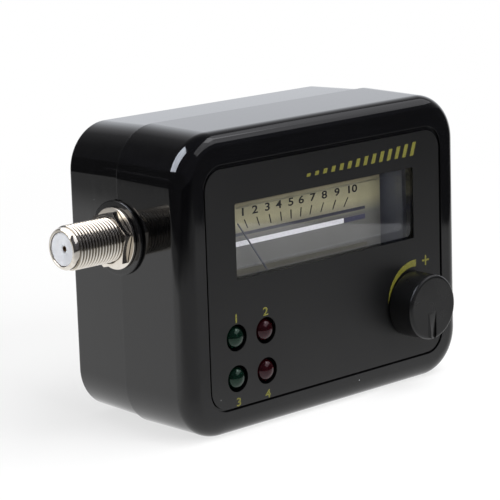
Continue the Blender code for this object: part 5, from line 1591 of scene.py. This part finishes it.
# Share of the way between the fade's ends, and the tone that is mirrored there
TABLE_TONES = (
    (0.0, 0.03), (0.04, 0.07), (0.10, 0.16), (0.16, 0.28), (0.27, 0.27), (0.36, 0.44),
    (0.46, 0.51), (0.80, 0.53), (0.90, 0.68), (1.0, 1.0),
)
TABLE_DIM_X = (-0.205, -0.178)
TABLE_DIM_TONE = (0.36, 1.0)
CORNER_SPAN = (-0.34, -0.26)
CORNER_TONE = (0.12, 1.0)
LIT_FLOOR_REACH = (0.10, 0.34)
LIT_FLOOR_SHARE = (0.70, 1.0)
BLACK = (0.0, 0.0, 0.0)
WHITE = (1.0, 1.0, 1.0)
BACK_DIRECTION = (0.684, 0.730, 0.0)
# How far a ray points to the back, and the tone of the room there
ROOM_TONES = (
    (0.10, (0.078, 0.078, 0.09)), (0.40, (0.10, 0.10, 0.104)), (0.65, (0.22, 0.22, 0.2288)),
    (0.78, (0.52, 0.52, 0.5408)), (0.92, (1.03, 1.06, 1.12)),
)
ROOM_STRENGTH = (0.4, 1.0)
CARD_HEIGHT = 0.15
CARD_SHEET = 5.0 * MM
CARD_BLUE = 1.05
CARD_CLOUD_SCALE = 6.0
CARD_CLOUD_SPAN = (0.35, 0.65)
CARD_CLOUD_TONE = 0.75
# Start, end, height and level
LOW_CARDS = {
    "left_card": ((TABLE_LEFT_X, -0.6), (TABLE_LEFT_X, 1.4), CARD_HEIGHT, 0.06),
    "right_card": ((0.082, -0.245), (0.262, -0.005), 0.11, 0.05),
}
# Azimuth, elevation, width and height in degrees, then distance and colour
SOFT_FACES = {
    "left_soft_face": (158.0, 45.0, 38.0, 54.0, 0.7, (9.2, 9.8, 11.0)),
    "front_soft_face": (-42.0, 48.0, 70.0, 29.0, 0.9, (1.15, 1.15, 1.2)),
    "front_soft_core": (-34.0, 56.0, 22.0, 14.0, 0.8, (2.8, 2.8, 2.9)),
}
# Place, width, height and power
SOFT_BOXES = {
    "top_box": ((0.25, -0.30, 0.9), 0.7, 0.5, 7.0),
    "front_box": ((0.1, -0.9, 0.5), 0.8, 0.6, 9.0),
}
SOFT_BOX_AIM = Vector((0.0, 0.0, 0.03))


def place_camera():
    """The camera at the photograph's viewing angle."""
    forward = Vector((
        math.sin(CAMERA_AZIMUTH) * math.cos(CAMERA_ELEVATION),
        math.cos(CAMERA_AZIMUTH) * math.cos(CAMERA_ELEVATION),
        -math.sin(CAMERA_ELEVATION),
    ))
    right = forward.cross(Vector((0, 0, 1))).normalized()
    up = right.cross(forward)
    turned_right = right * math.cos(CAMERA_ROLL) + up * math.sin(CAMERA_ROLL)
    turned_up = up * math.cos(CAMERA_ROLL) - right * math.sin(CAMERA_ROLL)
    data = bpy.data.cameras.new("camera")
    data.lens = CAMERA_LENS
    data.sensor_width = CAMERA_SENSOR
    data.clip_start, data.clip_end = CAMERA_CLIP
    camera = bpy.data.objects.new("camera", data)
    turn = Matrix((turned_right, turned_up, -forward)).transposed().to_4x4()
    camera.matrix_world = Matrix.Translation(CAMERA_PLACE) @ turn
    bpy.context.scene.collection.objects.link(camera)
    bpy.context.scene.camera = camera


def larger(tree, first, second):
    """The larger of two values."""
    return work_out(tree, "MAXIMUM", first, second)


def seen_directly(tree):
    """1 for rays that show the background: camera, glossy and transmission rays."""
    path = tree.nodes.new("ShaderNodeLightPath")
    seen = larger(tree, path.outputs["Is Camera Ray"], path.outputs["Is Glossy Ray"])
    return larger(tree, seen, path.outputs["Is Transmission Ray"])


def tone_ramp(tree, value, tones):
    """Colours at stations along a value, the first and the last at its ends."""
    ramp = tree.nodes.new("ShaderNodeValToRGB")
    tree.links.new(value, ramp.inputs["Fac"])
    stops = ramp.color_ramp.elements
    for index, (position, colour) in enumerate((tones[0], tones[-1])):
        stops[index].position, stops[index].color = position, (*colour, 1.0)
    for position, colour in tones[1:-1]:
        stops.new(position).color = (*colour, 1.0)
    return ramp.outputs["Color"]


def lay_table():
    """The white table: even white to the eye, duller near the viewer where it is mirrored."""
    deselect_all()
    centre = Vector((TABLE_LEFT_X + TABLE_REACH / 2, TABLE_FRONT_Y + TABLE_REACH / 2, 0.0))
    bpy.ops.mesh.primitive_plane_add(size=TABLE_REACH, location=centre)
    table = settle(bpy.context.object, "table")
    material, tree, shader = new_material("table_white", TABLE_WHITE, TABLE_ROUGH)
    shader.inputs["Specular IOR Level"].default_value = 0.0
    coordinates, axes = object_axes(tree)
    greys = [(station, scaled(WHITE, level)) for station, level in TABLE_TONES]
    mirrored_tone = tone_ramp(tree, spread(tree, axes["Y"], TABLE_FADE_Y), greys)
    corner = work_out(tree, "ADD", axes["X"], axes["Y"])
    for clear in (
        spread(tree, axes["X"], TABLE_DIM_X, TABLE_DIM_TONE),
        spread(tree, corner, CORNER_SPAN, CORNER_TONE),
    ):
        mirrored_tone = blend_colours(tree, clear, BLACK, mirrored_tone)
    rays = tree.nodes.new("ShaderNodeLightPath").outputs
    glow = tree.nodes.new("ShaderNodeEmission")
    shown = blend_colours(tree, rays["Is Camera Ray"], mirrored_tone, WHITE)
    tree.links.new(shown, glow.inputs["Color"])
    far = spread(tree, length_of(tree, coordinates), LIT_FLOOR_REACH, LIT_FLOOR_SHARE)
    to_eye = work_out(tree, "MULTIPLY", far, rays["Is Camera Ray"])
    mirrored_rays = larger(tree, rays["Is Glossy Ray"], rays["Is Transmission Ray"])
    mix = tree.nodes.new("ShaderNodeMixShader")
    tree.links.new(larger(tree, to_eye, mirrored_rays), mix.inputs["Fac"])
    tree.links.new(shader.outputs["BSDF"], mix.inputs[1])
    tree.links.new(glow.outputs["Emission"], mix.inputs[2])
    tree.links.new(mix.outputs["Shader"], tree.nodes["Material Output"].inputs["Surface"])
    table.data.materials.append(material)


def light_world():
    """White wall behind the meter, which falls off to a dim room; plain grey as light."""
    world = bpy.data.worlds.new("world")
    bpy.context.scene.world = world
    world.use_nodes = True
    tree = world.node_tree
    background = tree.nodes["Background"]
    coordinates = tree.nodes.new("ShaderNodeTexCoord")
    backward = tree.nodes.new("ShaderNodeVectorMath")
    backward.operation = "DOT_PRODUCT"
    backward.inputs[1].default_value = BACK_DIRECTION
    tree.links.new(coordinates.outputs["Generated"], backward.inputs[0])
    room = tone_ramp(tree, backward.outputs["Value"], ROOM_TONES)
    glossy = tree.nodes.new("ShaderNodeLightPath").outputs["Is Glossy Ray"]
    tree.links.new(blend_colours(tree, glossy, WHITE, room), background.inputs["Color"])
    strength = spread(tree, seen_directly(tree), FULL_SPAN, ROOM_STRENGTH)
    tree.links.new(strength, background.inputs["Strength"])


def low_card(name, start, end, height, level):
    """A low upright card between two floor points, which only reflections show."""
    start, end = Vector((*start, 0.0)), Vector((*end, 0.0))
    along = end - start
    card = block(
        name, (0, -CARD_SHEET / 2, -CARD_HEIGHT), (along.length, CARD_SHEET / 2, height)
    )
    turn = math.atan2(along.y, along.x)
    card.data.transform(Matrix.Translation(start) @ Matrix.Rotation(turn, 4, "Z"))
    glow_card(card, (level, level, level * CARD_BLUE))


def bright_card(name, azimuth, elevation, wide, high, distance, colour):
    """A flat softbox face that looks at the meter from a direction in degrees."""
    turn, rise = math.radians(azimuth), math.radians(elevation)
    outward = Vector((
        math.cos(turn) * math.cos(rise), math.sin(turn) * math.cos(rise), math.sin(rise)
    ))
    half_wide = distance * math.tan(math.radians(wide / 2))
    half_high = distance * math.tan(math.radians(high / 2))
    card = block(
        name, (-half_wide, -half_high, 0.0), (half_wide, half_high, CARD_SHEET)
    )
    face = outward.to_track_quat("Z", "Y").to_matrix().to_4x4()
    card.data.transform(Matrix.Translation(outward * distance) @ face)
    glow_card(card, colour)


def glow_card(card, colour):
    """A gently clouded glow; the card keeps out of sight and casts no shadow."""
    material = bpy.data.materials.new(card.name)
    material.use_nodes = True
    tree = material.node_tree
    tree.nodes.remove(tree.nodes["Principled BSDF"])
    glow = tree.nodes.new("ShaderNodeEmission")
    cloud = spread(tree, object_noise(tree, CARD_CLOUD_SCALE), CARD_CLOUD_SPAN)
    cloud = blend_colours(tree, cloud, colour, scaled(colour, CARD_CLOUD_TONE))
    tree.links.new(cloud, glow.inputs["Color"])
    tree.links.new(glow.outputs["Emission"], tree.nodes["Material Output"].inputs["Surface"])
    card.data.materials.append(material)
    card.visible_camera = False
    card.visible_diffuse = False
    card.visible_shadow = False


def soft_box(name, place, width, height, power):
    """A rectangular lamp that looks at the meter and isn't mirrored itself."""
    data = bpy.data.lights.new(name, "AREA")
    data.shape = "RECTANGLE"
    data.size = width
    data.size_y = height
    data.energy = power
    lamp = bpy.data.objects.new(name, data)
    lamp.location = place
    lamp.rotation_euler = (SOFT_BOX_AIM - Vector(place)).to_track_quat("-Z", "Y").to_euler()
    lamp.visible_glossy = False
    bpy.context.scene.collection.objects.link(lamp)


PORT_CARD_LOW = (-75.0 * MM, -1.0 * MM, 56.99 * MM)
PORT_CARD_HIGH = (-48.5 * MM, 19.0 * MM, 57.01 * MM)
PORT_CARD_RIM = 0.5 * MM
PORT_CARD_GLOW = (2.7, 2.62, 2.56)
PORT_CARD_DULL = (0.085, 0.085, 0.095)
PORT_CARD_SLANT = (0.6, 0.7)
PORT_CARD_BLEND = 0.5


def port_card():
    """A small louvred card over the left port, which only its thread sees from steeply below."""
    card = block("port_card", PORT_CARD_LOW, PORT_CARD_HIGH)
    glow_card(card, PORT_CARD_GLOW)
    tree = card.active_material.node_tree
    glow = tree.nodes["Emission"]
    cloud = glow.inputs["Color"].links[0].from_socket
    louvre = tree.nodes.new("ShaderNodeLayerWeight")
    louvre.inputs["Blend"].default_value = PORT_CARD_BLEND
    hidden = spread(tree, louvre.outputs["Facing"], PORT_CARD_SLANT)
    tree.links.new(blend_colours(tree, hidden, cloud, PORT_CARD_DULL), glow.inputs["Color"])
    rim = Vector((PORT_CARD_RIM, PORT_CARD_RIM, 0.0))
    low = Vector(PORT_CARD_LOW) - rim
    low.z = (PORT_CARD_LOW[2] + PORT_CARD_HIGH[2]) / 2
    high = Vector(PORT_CARD_HIGH) + rim
    high.z += PORT_CARD_RIM
    glow_card(block("port_card_back", low, high), PORT_CARD_DULL)


def set_studio():
    """Table, world, the cards that only reflections show, and the soft boxes."""
    lay_table()
    light_world()
    for name, place in LOW_CARDS.items():
        low_card(name, *place)
    for name, face in SOFT_FACES.items():
        bright_card(name, *face)
    port_card()
    for name, box in SOFT_BOXES.items():
        soft_box(name, *box)
    bpy.context.scene.view_settings.view_transform = "Standard"


def dress_nodes(materials):
    """Give every CAD node the finish of its slot."""
    slots = {row["node"]: row["material_slot"] for row in frame["record"]["subparts"]}
    for name, node in frame["nodes"].items():
        node.data.materials.clear()
        node.data.materials.append(materials[slots[name]])


def main():
    """Dress the meter."""
    place_camera()
    materials = build_materials()
    dress_nodes(materials)
    front_shell(materials["case_plastic"])
    rear_shell(materials["case_plastic"])
    front_label(materials["label_sheet"])
    label_print(materials["label_ink"])
    meter_cover(materials["clear_plastic"])
    scale_prints(materials)
    plate_lip(materials["plate_lip"])
    needle(materials["needle_paint"])
    knob(materials["knob_plastic"])
    lamps(materials)
    port_body(materials["thread"])
    port_stack(materials)
    case_screws(materials["steel"])
    set_studio()


main()
deselect_all()
